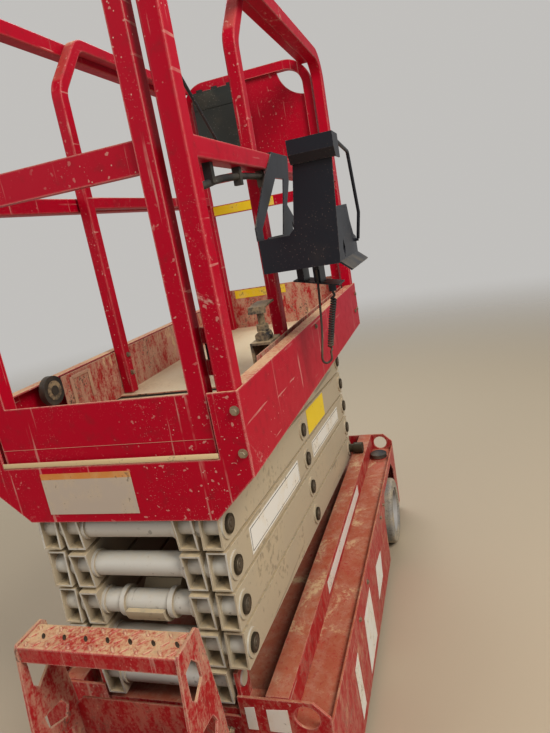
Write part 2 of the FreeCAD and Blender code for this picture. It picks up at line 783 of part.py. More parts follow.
def wheel(name, x, out, side):
    """Solid tyre and its rim, with the tyre's outer face at out."""
    centre = number(f"{out} - wheel_wide / 2") * side
    half = "wheel_wide / 2"
    place = (x, centre, "wheel_rad")
    tyre = turned("y", place, [
        (f"-{half}", "rim_rad"), (f"-{half}", "wheel_rad - 12"), (f"-{half} + 3", "wheel_rad - 4"),
        (f"-{half} + 12", "wheel_rad"), (f"{half} - 12", "wheel_rad"),
        (f"{half} - 3", "wheel_rad - 4"), (half, "wheel_rad - 12"), (half, "rim_rad")], side)
    node(f"tyre_{name}", [tyre])
    hole = "axle_rad + pin_gap"
    rim = turned("y", place, [
        (f"-{half} + 6", "rim_rad - 7"), (f"-{half} + 6", "rim_rad"), (f"{half} - 6", "rim_rad"),
        (f"{half} - 6", "rim_rad - 8"),
        ("10", "rim_rad - 14"), ("4", "hub_rad"), ("14", "hub_rad"), ("14", hole),
        ("-30", hole), ("-30", "hub_rad"), ("-4", "hub_rad"), ("-2", "rim_rad - 14")], side)
    node(f"rim_{name}", [rim])


def axles():
    """Rear axle, front beam, the two steering knuckles and the four wheels."""
    def stub(side, x, near, out):
        z = "wheel_rad"
        hub_in = f"({out} - wheel_wide / 2 - 30)"
        hub_out = f"({out} - wheel_wide / 2 + 14)"
        return [across(side, x, near, f"{hub_out} + 1", "axle_rad", z),
                across(side, x, f"{hub_in} - 12", f"{hub_in} - 0.3", "24", z),
                across(side, x, f"{hub_out} + 0.3", f"{hub_out} + 7", "24", z)]

    inner = "(rear_wheel_out - wheel_wide / 2 - 36)"
    shaft = rod("y", ("rear_axle_x", f"-{inner}", "wheel_rad"), "25", f"2 * {inner}")
    hangers = [slab(side, ("rear_axle_x - 30", "hanger_y", "wheel_rad - 20"),
                    ("rear_axle_x + 30", "hanger_y + 12", "pan_top - pan_thick")) for _, side in SIDES]
    stubs = both(lambda side: stub(side, "rear_axle_x", "hanger_y", "rear_wheel_out"))
    node("rear_axle", [shaft] + hangers + stubs)
    beam = block(("front_axle_x - 36", "-kingpin_y - 22", "beam_low"),
                 ("front_axle_x + 36", "kingpin_y + 22", "pan_top - pan_thick"))
    pins = [rod("z", ("front_axle_x", f"{side} * kingpin_y", "knuckle_top"),
                "kingpin_rad + pin_gap", "80") for _, side in SIDES]
    node("front_beam", [cut(beam, pins)])
    for name, side in SIDES:
        body = slab(side, ("front_axle_x - 26", "kingpin_y - 20", "knuckle_low"),
                    ("front_axle_x + 26", "kingpin_y + 24", "knuckle_top"))
        pin = rod("z", ("front_axle_x", f"{side} * kingpin_y", "knuckle_top - 10"),
                  "kingpin_rad", "66")
        node(f"knuckle_{name}",
             [body, pin] + stub(side, "front_axle_x", "kingpin_y", "wheel_out"))
        wheel(f"front_{name}", "front_axle_x", "wheel_out", side)
        wheel(f"rear_{name}", "rear_axle_x", "rear_wheel_out", side)


def platform():
    """Platform deck with its tracks and hinge ears, skirts, rear plate and rails."""
    back = "-rear_plane + 5"
    deck = block((back, "-deck_half + sheet_thick", "deck_low"),
                 ("deck_long", "deck_half - sheet_thick", "deck_top"))
    track_low = "top_pin_z + roller_rad + roller_seat"

    def under(side):
        track = slab(side, ("track_rear", "outer_lane", track_low),
                     ("track_front", "outer_face", "deck_low"))
        slot = slab(side, ("track_rear - 1", "outer_lane + 5", f"{track_low} + 5"),
                    ("track_front + 1", "outer_face - 5", "deck_low - 5"))
        return [cut(track, [slot])]

    node("platform_deck", [deck] + both(under))

    def ears(side):
        z = "top_pin_z - 28"
        inner = slab(side, ("hinge_x - 26", "inner_face - 6.5", z),
                     ("hinge_x + 26", "inner_face + 3.5", "deck_low"))
        outer = slab(side, ("hinge_x - 26", "outer_face + boss_thick + 1.5", z),
                     ("hinge_x + 26", "outer_face + boss_thick + 9.5", "deck_low"))
        pin = across(side, "hinge_x", "inner_face - 5", "outer_face + boss_thick + 8",
                     "pin_rad", "top_pin_z")
        return [fuse([inner, outer, pin])]

    node("platform_hinge", both(ears))

    def skirt(side):
        inner = "deck_half - sheet_thick"
        lip = "deck_half - flange_wide"
        return [fuse([
            slab(side, (back, inner, "skirt_low"), ("deck_long", "deck_half", "skirt_top")),
            slab(side, (f"{back} + post_wide", lip, "skirt_top - sheet_thick"),
                 ("front_post_x - post_wide / 2", inner, "skirt_top")),
            slab(side, (back, lip, "skirt_low"), ("deck_long", inner, "skirt_low + sheet_thick"))])]

    node("platform_skirts", both(skirt))
    outline = [("-deck_half + rear_chamfer_y", "rear_plate_low"),
               ("deck_half - rear_chamfer_y", "rear_plate_low"),
               ("deck_half", "rear_plate_low + rear_chamfer_z"), ("deck_half", "skirt_top"),
               ("gate_half", "skirt_top"), ("gate_half", "gate_sill"),
               ("-gate_half", "gate_sill"), ("-gate_half", "skirt_top"),
               ("-deck_half", "skirt_top"), ("-deck_half", "rear_plate_low + rear_chamfer_z")]
    node("rear_plate", [plate("x", "-rear_plane", "5", outline)])
    post = VALUE["post_wide"]
    first_x = 5 - VALUE["rear_plane"] + post / 2
    for name, side in SIDES:
        y = side * (number("post_out") - post / 2)
        top = number("rail_z") - post / 2
        foot = number("deck_top")
        path = [(first_x, y, foot), (first_x, y, top), (number("front_post_x"), y, top),
                (number("front_post_x"), y, foot)]
        hoop = feature(bent_bar(path, post, post, VALUE["bend_rad"], "y"))
        mid = slab(side, (f"{first_x} + post_wide / 2", "deck_half - sheet_thick - post_wide",
                          "mid_z - post_wide / 2"),
                   ("front_post_x - post_wide / 2", "deck_half - sheet_thick", "mid_z + post_wide / 2"))
        node(f"side_rail_{name}", [hoop, mid])


def gate():
    """Swing gate in the rear recess, hinged on the right corner post."""
    edge = "gate_half - 5"
    rear = "-rear_plane + 7"
    front = "-rear_plane + 7 + gate_tube"
    bottom = "gate_sill + 8"

    def posts(side):
        return [slab(side, (rear, f"{edge} - gate_tube", bottom), (front, edge, "rail_z"))]

    bar = f"{edge} - gate_tube"
    items = both(posts) + [
        block((rear, f"-({bar})", "rail_z - gate_tube"), (front, bar, "rail_z")),
        block((f"{rear} + 8", f"-({bar})", "gate_mid_low"), (f"{front} - 8", bar, "gate_mid_top")),
        block((rear, f"-({bar})", bottom), (f"{rear} + 3", bar, "skirt_top"))]
    post_face = "(deck_half - sheet_thick - post_wide)"
    hinge_y = f"(({edge} + {post_face}) / 2)"
    hinge_x = f"({front})"
    leaf = (f"{hinge_x} - 4", f"{hinge_x} + 2")
    knuckles = []
    for z in ("(deck_top + hinge_low)", "(deck_top + hinge_high)"):
        knuckles.append(fuse([
            rod("z", (hinge_x, f"-{hinge_y}", z), "knuckle_rad", "knuckle_long"),
            rod("z", (hinge_x, f"-{hinge_y}", f"{z} - knuckle_long"), "knuckle_pin",
                "3 * knuckle_long"),
            slab(-1, (leaf[0], hinge_y, z), (leaf[1], post_face, f"{z} + knuckle_long"))]))
        for low, high in ((f"{z} - knuckle_long", f"{z} - knuckle_gap"),
                          (f"{z} + knuckle_long + knuckle_gap", f"{z} + 2 * knuckle_long")):
            ear = fuse([
                rod("z", (hinge_x, f"-{hinge_y}", low), "knuckle_rad", f"{high} - ({low})"),
                slab(-1, (leaf[0], f"{edge} - 1", low), (leaf[1], hinge_y, high))])
            items.append(cut(ear, [rod("z", (hinge_x, f"-{hinge_y}", f"{low} - 1"),
                                       "knuckle_pin + knuckle_gap", "2 * knuckle_long")]))
    node("gate_frame", items)
    node("gate_hinges", knuckles)


def extension():
    """Roll-out deck with toe boards, its two hoops, the front frame and what it carries."""
    low = "deck_top + ext_deck_gap"
    thick = "sheet_thick"
    floor = [block(("ext_start + ext_sheet", "-ext_half + 3", low),
                   ("ext_front_x + 16", "ext_half - 3", f"{low} + {thick}"))]
    boards = both(lambda side: [slab(side, ("ext_start", "ext_half - 3", low),
                                     ("ext_front_x + 20", "ext_half", "skirt_top"))])
    front = [block(("ext_front_x + 16", "-ext_half + 3", low),
                   ("ext_front_x + 20", "ext_half - 3", "skirt_top + 40"))]
    node("extension_deck", floor + boards + front)
    pads = []
    for x in ("pad_rear", "(ext_front_x - pad_front_in)"):
        for _, side in SIDES:
            pads.append(slab(side, (x, "pad_in", "deck_top"),
                             (f"{x} + pad_long", "pad_in + pad_wide", f"{low} - 0.3")))
    node("deck_pads", pads)
    tube = VALUE["ext_tube"]
    foot = number(f"{low} + {thick}")
    front_x = number("ext_front_x")
    leg_x = VALUE["ext_leg_x"]
    top = number("ext_top_z") - tube / 2
    for name, side in SIDES:
        y = side * (number("ext_half") - 3 - tube / 2)
        path = [(leg_x, y, foot), (leg_x, y, number("ext_kink_z")),
                (leg_x + VALUE["ext_lean"], y, top), (front_x - tube / 2, y, top)]
        hoop = feature(bent_bar(path, tube, tube, VALUE["ext_bend"], "y"))
        mid = slab(side, (leg_x + tube / 2, "ext_half - 3 - ext_tube", "mid_z - ext_tube / 2"),
                   (front_x - tube / 2, "ext_half - 3", "mid_z + ext_tube / 2"))
        node(f"extension_rail_{name}", [hoop, mid])
    y = number("ext_half") - 3 - tube / 2
    path = [(front_x, -y, foot), (front_x, -y, top), (front_x, y, top), (front_x, y, foot)]
    frame = feature(bent_bar(path, tube, tube, VALUE["frame_bend"], "x"))
    bars = []
    for z, high in (("front_mid_z", "front_bar_high"), ("(deck_top + low_bar_over)", "low_bar_high")):
        bars.append(block((f"{front_x} - front_bar_deep / 2", f"-({y - tube / 2})", z),
                          (f"{front_x} + front_bar_deep / 2", str(y - tube / 2), f"{z} + {high}")))
    node("front_frame", [frame] + bars)
    near = f"({-y + tube / 2})"
    high = f"({top - tube / 2})"
    sheet = plate("x", f"{front_x} - sheet_thick / 2", "sheet_thick", [
        (near, "front_mid_z + front_bar_high"), ("0", "front_mid_z + front_bar_high"),
        ("0", high), (near, high)])
    # the lens-shaped opening that a hand goes through at the bent corner
    eye = rod("x", (f"{front_x} - sheet_thick", f"{near} - eye_past", f"{high} + eye_past"),
              "eye_round", "2 * sheet_thick")
    node("front_sheet", [cut(sheet, [eye])])
    low_z = "(deck_top + box_low_over)"
    far_x = f"({front_x - tube / 2 - 0.3})"
    lean = 14
    shell = plate("y", "box_near", "box_far - box_near", [
        (f"{far_x} - box_rear", low_z), (far_x, low_z), (far_x, f"{low_z} + box_high"),
        (f"{far_x} - box_rear + {lean}", f"{low_z} + box_high"),
        (f"{far_x} - box_rear", f"{low_z} + box_high - {2 * lean}")])
    seam = block((f"{far_x} - box_rear - 1", "box_near - 1", f"{low_z} + box_high - 70"),
                 (f"{far_x} - box_rear + 2", "box_far + 1", f"{low_z} + box_high - 67"))
    clips = [block((f"{far_x} - 16", f"box_near + {place}", f"{low_z} + box_high - 1"),
                   (f"{far_x} - 4", f"box_near + {place} + 22", f"{low_z} + box_high + 10"))
             for place in (16, 79, 142)]
    node("document_box", [fuse([cut(shell, [seam])] + clips)])


def foot_pedal():
    """Foot lock of the roll-out deck: bracket, bell crank on its pin and a folded tread."""
    wall = "(ext_half - 3)"
    z = "(deck_top + pedal_base)"
    middle = f"({wall} - 26)"
    box = cut(slab(-1, ("pedal_x", f"{wall} - 52", z), ("pedal_x + pedal_long", wall, f"{z} + 52")),
              [slab(-1, ("pedal_x - 1", f"{wall} - 48", f"{z} - 1"),
                    ("pedal_x + pedal_long - 8", f"{wall} - 4", f"{z} + 46"))])
    bell = rod("x", ("pedal_x + 18", f"-({middle})", f"{z} + 60"), "16", "44")
    neck = rod("z", ("pedal_x + 40", f"-({middle})", f"{z} + 50"), "9", "86")
    pin = rod("y", ("pedal_x + 40", f"-({wall}) + 4", f"{z} + 60"), "6", "44")
    nut = rod("z", ("pedal_x + 40", f"-({middle})", f"{z} + 74"), "15", "16")
    tread = plate("y", f"-({wall}) + 4", "44", [
        ("pedal_x + 14", f"{z} + 120"), ("pedal_x + 18", f"{z} + 120"),
        ("pedal_x + 22", f"{z} + 132"), ("pedal_x + 96", f"{z} + 137"),
        ("pedal_x + 96", f"{z} + 141"), ("pedal_x + 19", f"{z} + 136")])
    node("foot_pedal", [fuse([box, bell, neck, pin, nut, tread])])


def control_tray():
    """Folded tray outside the right mid rail that the control box stands in."""
    rail = "post_out"
    far = "tray_reach"
    thick = "tray_thick"
    rear = "tray_rear"
    front = "(tray_rear + tray_long)"
    low = "(deck_top + tray_over)"
    lip = f"({low} + tray_wall)"
    out = "tray_out"
    head = "(deck_top + head_over)"
    near_plate = plate("x", rear, thick, [
        ("-tray_in", low), ("-tray_in", lip), (f"-({rail}) - 50", lip),
        (f"-({rail}) - 62", f"{lip} + 12"), (f"-({rail}) - 84", f"{head} - 10"),
        (f"-({far}) + 9", f"{head} - 10"), (f"-({out})", low)])
    floor = block((rear, f"-({out})", low), (front, "-tray_in", f"{low} + {thick}"))
    side = plate("y", f"-({out})", thick, [
        (rear, low), (rear, f"{lip} + 40"), (f"{rear} + 60", f"{lip} + 45"),
        (f"{rear} + 190", f"{lip} + 48"), (f"{rear} + 205", f"{lip} + 10"),
        (f"{rear} + 236", f"{lip} - 26"), (front, f"{lip} - 34"), (front, low)],
        [[(f"{rear} + 62", f"{low} + 26"), (f"{rear} + 76", f"{low} + 48"),
          (f"{rear} + 90", f"{low} + 26"), (f"{rear} + 76", f"{low} + 4")]])
    stop = block((f"{front} - {thick}", f"-({out})", low), (front, "-tray_in", f"{low} + 40"))
    skirt = plate("x", f"{rear} + 8", "tray_long - 8", [
        (f"-({out}) + {thick}", low), (f"-({out})", f"{low} + {thick}"),
        (f"-({far})", f"{low} - 17"), (f"-({far}) + {thick}", f"{low} - 20")])
    hood = plate("y", f"-({far})", "hood_wide", [
        (f"{rear} + 42", f"{head} + 20"), (f"{rear} - 20", f"{head} + 20"),
        (f"{rear} - 20", f"{head} - 10"), (f"{rear} - 8", f"{head} - 28"),
        (f"{rear} + {thick}", f"{head} - 28"), (f"{rear} + {thick}", f"{head} - 25"),
        (f"{rear} - 6", f"{head} - 25"), (f"{rear} - 17", f"{head} - 9"),
        (f"{rear} - 17", f"{head} + 17"), (f"{rear} + 42", f"{head} + 17")])
    cap = plate("y", f"-({far})", thick, [
        (f"{rear} + 42", f"{head} + 20"), (f"{rear} - 20", f"{head} + 20"),
        (f"{rear} - 20", f"{head} - 10"), (f"{rear} - 8", f"{head} - 28"),
        (f"{rear} + 42", f"{head} - 28")])
    face = f"-({rail}) - {thick}"
    crown = "(mid_z + post_wide / 2)"
    hanger = plate("y", face, thick, [
        (f"{rear} - 80", lip), (f"{rear} - 80", f"{lip} + 28"), (f"{rear} + 40", f"{crown} - 62"),
        (f"{rear} + 133", crown), (f"{rear} + 282", crown), (f"{rear} + 258", f"{crown} - 60"),
        (f"{rear} + 204", f"{crown} - 120"), (f"{rear} + 276", f"{lip} + 26"),
        (f"{rear} + 276", lip), (f"{rear} + 248", lip), (f"{rear} + 226", f"{lip} + 34"),
        (f"{rear} + 222", lip), (f"{rear} + 124", lip), (f"{rear} + 176", f"{crown} - 110"),
        (f"{rear} + 208", f"{crown} - 56"), (f"{rear} + 134", f"{crown} - 56"),
        (f"{rear} - 36", f"{lip} + 22"), (f"{rear} - 36", lip)])
    hook = block((f"{rear} + 133", face, crown), (f"{rear} + 282", "-post_in", f"{crown} + {thick}"))
    strap = block((rear, face, low), (front, f"-({rail})", f"{lip} + 3"))
    guard = feature(round_bar([(f"{rear} + 36", f"-({far}) + 5", f"{head} + 8"),
                               (f"{rear} + 190", f"-({far}) + 5", f"{head} - 4"),
                               (f"{rear} + 242", f"-({far}) + 5", f"{lip} + 24"),
                               (f"{rear} + 250", f"-({out}) - 8", f"{lip} - 40")], "guard_rad", 14))
    stay = rod("y", (f"{rear} + 250", f"-({out}) - 9", f"{lip} - 42"), "guard_rad", "12")
    shelf = plate("x", f"{rear} + 94", "82", [
        (f"-({rail}) - 16", f"{low} - 32"), (f"-({rail}) - 16", f"{low} - 35"),
        ("-tray_reach + 52", f"{low} - 59"), ("-tray_reach + 52", f"{low} - 56")])
    spacers = [plate("x", f"{rear} + 100", "60", [
        (f"-({rail}) - {near}", f"{low} + 1"), (f"-({rail}) - {near}", f"{low} - {drop}"),
        (f"-({rail}) - {near + 16}", f"{low} - {drop + 3}"), (f"-({rail}) - {near + 16}", f"{low} + 1")])
        for near, drop in ((26, 36), (66, 45))]
    stem = rod("z", (f"{rear} + 88", "-cord_y", f"{low} - stem_long"), "stem_rad", "stem_long + 1")
    socket = rod("z", (f"{rear} + 100", "-cord_y - 30", f"{low} - 70"), "stem_rad + 2", "16")
    node("control_tray", [fuse([near_plate, floor, side, stop, skirt, hood, cap, hanger, hook,
                                strap, guard, stay, shelf, stem, socket] + spacers)])


def control_cord():
    """The control box's lead, and the curly part that it turns up into."""
    low = "(deck_top + tray_over)"
    lead = [(88, 0, -14), (88, 0, -48), (88, -4, -100), (88, -7, -146), (88, -12, -188),
            (88, -17, -216), (90, -20, -236), (94, -13, -245), (99, -4, -243), (101, 3, -236),
            (101, 3, -222)]
    curl = [(101, 3, -222), (101, 3, -206), (101, 10, -172), (100, 20, -124), (100, 30, -88),
            (100, 30, -70)]
    for name, route, radius in (("cord_lead", lead, "cord_rad"), ("cord_curl", curl, "curl_rad")):
        points = [(f"tray_rear + {x}", f"-cord_y - {y}", f"{low} + {z}") for x, y, z in route]
        tube = round_bar(points, radius)
        expected = math.pi * number(radius) ** 2 * tube_length(points)
        print(name, "volume", round(tube.Volume), "from its length", round(expected))
        node(name, [feature(tube)])


def harness():
    """Control cable clipped under the right mid rail, with its straps."""
    start = "post_wide + 5 - rear_plane"
    low = "mid_z - post_wide / 2 - harness_drop"
    points = [(f"{start} + 0.3", "-harness_y", low), (f"{start} + 40", "-harness_y", low),
              ("150", "-harness_y - 4", "mid_z - post_wide / 2 - 26"),
              ("300", "-harness_y - 4", "mid_z - post_wide / 2 - 15"),
              ("462", "-harness_y - 4", "mid_z - post_wide / 2 - 12")]
    cable = feature(round_bar(points, "harness_rad"))
    straps = [block((x, "-harness_y - 12", "mid_z - post_wide / 2 - 36"),
                    (f"{x} + 14", "-harness_y + 4", "mid_z - post_wide / 2")) for x in ("96", "250", "410")]
    node("harness", [fuse([cable] + straps)])


for level in range(1, LEVELS + 1):
    outer_arms(level)
    inner_arms(level)
roller_axle()
upper_rollers()
lift_barrel()
lift_rod()
chassis()
ladder()
axles()
platform()
gate()
extension()
foot_pedal()
control_tray()
control_cord()
harness()

DOC.recompute()
broken = [item.Name for item in DOC.Objects if {"Invalid", "Error"} & set(item.State)]
if broken:
    raise RuntimeError(f"these objects failed: {broken}")
for name, item in NODES.items():
    if item.Shape.isNull() or not item.Shape.isValid() or not item.Shape.Solids:
        raise RuntimeError(f"{name} has no valid solid")
os.makedirs("parts", exist_ok=True)
for name, item in NODES.items():
    item.Shape.exportStep(f"parts/{name}.step")
print(len(NODES), "sub-parts written")
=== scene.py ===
"""Dresses a compact electric scissor lift: worn crimson paint, grey stack, black control tray.

Lengths are metres. The frame gives every place: the CAD nodes are the steelwork, and the
operators below soften their edges, give them their finish and add the small fittings.
"""
import functools
import json
import math

import bmesh
import bpy
from mathutils import Matrix, Vector


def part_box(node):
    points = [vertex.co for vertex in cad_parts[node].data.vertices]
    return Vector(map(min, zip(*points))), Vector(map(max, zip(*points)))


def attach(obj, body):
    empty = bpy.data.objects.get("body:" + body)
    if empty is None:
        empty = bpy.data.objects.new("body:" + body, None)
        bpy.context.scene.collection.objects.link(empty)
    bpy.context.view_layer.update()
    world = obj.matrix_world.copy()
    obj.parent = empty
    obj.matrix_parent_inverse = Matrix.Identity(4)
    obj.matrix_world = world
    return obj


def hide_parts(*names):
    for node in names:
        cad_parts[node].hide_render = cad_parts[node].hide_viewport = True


bl_info = {
    "name": "Scissor Lift Dressing",
    "version": (1, 0, 0),
    "blender": (4, 5, 0),
    "location": "3D View > Sidebar > Lift",
    "description": "Finishes and small fittings of a compact electric scissor lift",
    "category": "Object",
}

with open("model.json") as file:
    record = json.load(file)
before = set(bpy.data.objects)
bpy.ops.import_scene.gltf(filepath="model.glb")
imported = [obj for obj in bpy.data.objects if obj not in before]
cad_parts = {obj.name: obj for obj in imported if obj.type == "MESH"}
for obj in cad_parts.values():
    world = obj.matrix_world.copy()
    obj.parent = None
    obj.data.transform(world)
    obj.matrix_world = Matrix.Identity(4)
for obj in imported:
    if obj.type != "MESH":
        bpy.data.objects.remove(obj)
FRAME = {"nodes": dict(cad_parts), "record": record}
NODES = FRAME["nodes"]
BODIES = FRAME["record"]["behaviour"]["bodies"]
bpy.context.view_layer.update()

# machine axes: X forward from the platform's rear plane, Y to the left, Z up from the floor
END_PLATE = 0.006
ORIGIN = Vector((
    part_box("end_plate_rear")[0].x + END_PLATE,
    (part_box("chassis_pan")[0].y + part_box("chassis_pan")[1].y) / 2,
    0.0))
DECK_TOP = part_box("platform_deck")[1].z
REAR_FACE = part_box("rear_plate")[0].x - ORIGIN.x
JOINTS = {joint["name"]: joint for joint in FRAME["record"]["behaviour"]["joints"]}
# the rear pins of the lowest and the topmost level, and the front pin of the lowest
LOW_PIN, TOP_PIN, FRONT_PIN = (
    Vector(JOINTS[name]["pos_m"]) - ORIGIN for name in ("lift", "platform_pivot", "barrel_pivot"))
LEVELS = 5
LEVEL_HIGH = (TOP_PIN.z - LOW_PIN.z) / LEVELS
SLOPE = math.atan2(LEVEL_HIGH, FRONT_PIN.x - LOW_PIN.x)
REARWARD, RIGHTWARD = (-1.0, 0.0, 0.0), (0.0, -1.0, 0.0)
# points closer than MERGED are one; edges bent less than FLAT degrees go, over SHARP they are rounded
MERGED, FLAT, SHARP = 0.00002, 1.0, 32.0
# a label's thickness, and its gap from the face under it
LABEL_THICK, LABEL_GAP = 0.0008, 0.0002
# from the middle plane to the outer arms' faces, and from a rear pin's axis past its tube
ARM_FACE = 0.2135
TUBE_REACH = 0.033


def colour(name, default, text):
    """A colour property."""
    return bpy.props.FloatVectorProperty(
        name=name, default=default, size=3, min=0.0, max=1.0, subtype="COLOR", description=text)


def length(name, default, text):
    """A length property, in metres."""
    return bpy.props.FloatProperty(
        name=name, default=default, min=0.0, precision=4, unit="LENGTH", description=text)


def share(name, default, text):
    """A share from 0 to 1."""
    return bpy.props.FloatProperty(
        name=name, default=default, min=0.0, max=1.0, subtype="FACTOR", description=text)


class LiftColours(bpy.types.PropertyGroup):
    """Paints, metals and dirt."""

    crimson: colour("Crimson", (0.46, 0.0008, 0.026), "Guard rail and platform paint")
    base_crimson: colour("Base crimson", (0.42, 0.013, 0.021), "Older paint of the chassis")
    faded: colour("Faded paint", (0.38, 0.045, 0.035), "Chalked paint")
    plaster: colour("Plaster", (0.68, 0.50, 0.42), "Dried splashes on the paint")
    dust: colour("Dust", (0.68, 0.54, 0.33), "Dust that lies on level faces")
    soil: colour("Soil", (0.44, 0.145, 0.080), "Trodden dirt on the chassis")
    mud: colour("Mud", (0.54, 0.34, 0.25), "Dried mud wiped over the paint")
    cream: colour("Cream", (0.74, 0.66, 0.47), "Plaster dust on the deck sheet")
    stack_grey: colour("Stack grey", (0.47, 0.405, 0.30), "Paint of the scissor arms")
    # the cross tubes have the arms' paint: this cooler, paler grey is painted sky light on them
    skylit_tube_grey: colour("Tube grey", (0.57, 0.56, 0.52), "Paint of the cross tubes")
    # grime is also the colour of the painted shade on the ledge under the stack
    grime_and_shade: colour("Grime", (0.06, 0.045, 0.035), "Grease and dirt in corners")
    rust: colour("Rust", (0.20, 0.075, 0.03), "Rusted scratches")
    bare_steel: colour("Bare steel", (0.36, 0.34, 0.32), "Worn pins and axles")
    # the black's blue tint is a painted sheen, for the sky reflected in the glossy tray
    black: colour("Black", (0.019, 0.022, 0.032), "Satin black steel")
    plastic: colour("Plastic", (0.030, 0.030, 0.032), "Black moulded plastic")
    box_plastic: colour("Box plastic", (0.026, 0.031, 0.028), "Document box")
    rubber: colour("Rubber", (0.30, 0.29, 0.27), "Worn solid tyres")
    rim: colour("Rim", (0.42, 0.41, 0.40), "Painted wheel rims")
    label_grey: colour("Label grey", (0.50, 0.43, 0.37), "Aged plate at the rear")
    label_white: colour("Label white", (0.76, 0.75, 0.71), "Blank printed labels")
    label_yellow: colour("Label yellow", (0.80, 0.60, 0.015), "Blank yellow labels")
    label_orange: colour("Label orange", (0.62, 0.27, 0.07), "Blank label headers")
    galvanised: colour("Galvanised", (0.46, 0.39, 0.29), "Zinc plated bolts")


class LiftWear(bpy.types.PropertyGroup):
    """How worn and dirty the machine is."""

    splash: share("Splashes", 0.5, "How much dried plaster lies on the paint")
    chips: share("Chips", 0.7, "Paint worn off along the edges")
    dusting: share("Dust", 0.8, "Dust on level faces")


class LiftSizes(bpy.types.PropertyGroup):
    """Sizes of the fittings."""

    tube_edge: length("Tube corner", 0.0042, "Rounding of the square rail tubes")
    sheet_edge: length("Sheet edge", 0.0009, "Rounding of folded sheet edges")
    arm_edge: length("Arm corner", 0.0045, "Rounding of the scissor arm tubes")
    bolt_across: length("Bolt", 0.017, "Width across the flats of a frame bolt")
    tread_pitch: length("Tread pitch", 0.024, "Spacing of the raised tread marks")
    cord_thick: length("Cord", 0.0054, "Thickness of the control cord")
    curl_wide: length("Curl", 0.0164, "Outer diameter of the cord's curly part")
    curl_pitch: length("Curl pitch", 0.0062, "Length of one turn of the curly part")
    curl_end: length("Curl end", 0.019, "Length of the curly part's first and last turn")
    cord_share: share("Cord length", 0.98, "The cord's length against its points' distance")


class Wire:
    """A shader socket, with arithmetic that adds Math nodes."""

    def __init__(self, tree, socket):
        self.tree = tree
        self.socket = socket

    def maths(self, operation, *values):
        return self.tree.maths(operation, *values)

    def __add__(self, other):
        return self.maths("ADD", self, other)

    __radd__ = __add__

    def __sub__(self, other):
        return self.maths("SUBTRACT", self, other)

    def __rsub__(self, other):
        return self.maths("SUBTRACT", other, self)

    def __mul__(self, other):
        return self.maths("MULTIPLY", self, other)

    __rmul__ = __mul__

    def over(self, low, high):
        """0 below low, 1 above high, smooth between."""
        return self.tree.add(
            "ShaderNodeMapRange", {"Value": self, "From Min": low, "From Max": high},
            interpolation_type="SMOOTHSTEP")

    def most(self, other):
        return self.maths("MAXIMUM", self, other)

    def capped(self, limit):
        return self.maths("MINIMUM", self, limit)


class Finish:
    """One material's node tree."""

    def __init__(self, name, roughness=0.5, metallic=0.0):
        self.material = bpy.data.materials.new(name)
        self.material.use_nodes = True
        self.nodes = self.material.node_tree.nodes
        self.links = self.material.node_tree.links
        self.surface = self.nodes["Principled BSDF"]
        self.surface.inputs["Roughness"].default_value = roughness
        self.surface.inputs["Metallic"].default_value = metallic
        self.place = self.add("ShaderNodeTexCoord", output="Object")
        self.normal = self.add("ShaderNodeNewGeometry", output="Normal")

    def feed(self, socket, value):
        """Links a Wire to a socket, or sets the socket's value."""
        if isinstance(value, Wire):
            self.links.new(value.socket, socket)
        elif socket.type == "RGBA" and len(value) == 3:
            socket.default_value = (*value, 1.0)
        else:
            socket.default_value = value

    def add(self, kind, sockets=None, output=0, **settings):
        """A node of that kind with its settings and sockets, as the Wire from one of its outputs."""
        node = self.nodes.new(kind)
        for name, value in settings.items():
            setattr(node, name, value)
        for name, value in (sockets or {}).items():
            self.feed(node.inputs[name], value)
        return Wire(self, node.outputs[output])

    def maths(self, operation, *values):
        return self.add("ShaderNodeMath", dict(enumerate(values)), operation=operation)

    def stretched(self, scale, turn=(0.0, 0.0, 0.0)):
        """Object coordinates, turned and scaled for streaks."""
        return self.add("ShaderNodeMapping", {
            "Vector": self.place, "Rotation": turn, "Scale": scale})

    def noise(self, scale, detail=4.0, rough=0.55, vector=None, twist=0.0):
        return self.add("ShaderNodeTexNoise", {
            "Vector": vector or self.place, "Scale": scale, "Detail": detail,
            "Roughness": rough, "Distortion": twist})

    def cells(self, scale):
        """How far the nearest cell's middle is."""
        return self.add("ShaderNodeTexVoronoi", {"Vector": self.place, "Scale": scale})

    def dots(self, scale, small, large):
        """1 in small round specks."""
        return 1.0 - self.cells(scale).over(small, large)

    def mix(self, first, second, mask):
        return self.add("ShaderNodeMix", {0: mask, 6: first, 7: second}, output=2,
                        data_type="RGBA", clamp_factor=True)

    def studs(self, step):
        """Rows of small raised studs in the X-Y plane."""
        along, across = (self.along(axis) * (math.tau / step) for axis in (0, 1))
        sines = [socket.maths("SINE", socket) for socket in (along + across, along - across)]
        return (sines[0] * sines[1]).over(0.55, 0.80)

    def along(self, axis):
        """How far along X, Y or Z, in metres."""
        return self.add("ShaderNodeSeparateXYZ", {0: self.place}, output=axis)

    def upward(self):
        """1 on faces that look up."""
        return self.add("ShaderNodeSeparateXYZ", {0: self.normal}, output=2).over(0.55, 0.95)

    def convex_edges(self, radius):
        """1 along convex edges, from how far the rounded normal turns."""
        rounded = self.add("ShaderNodeBevel", {"Radius": radius}, samples=4)
        facing = self.add("ShaderNodeVectorMath", {0: rounded, 1: self.normal}, output=1,
                          operation="DOT_PRODUCT")
        return (1.0 - facing).over(0.010, 0.075)

    def bump(self, height, strength=0.3, distance=0.001):
        lifted = self.add("ShaderNodeBump", {
            "Height": height, "Strength": strength, "Distance": distance})
        self.feed(self.surface.inputs["Normal"], lifted)

    def colour(self, value):
        self.feed(self.surface.inputs["Base Color"], value)

    def rough(self, value):
        self.feed(self.surface.inputs["Roughness"], value)

    def metal(self, value):
        self.feed(self.surface.inputs["Metallic"], value)

    def shine(self, value):
        self.feed(self.surface.inputs["Specular IOR Level"], value)


# each finish is made once: its function is cached, so the same call gives the same material


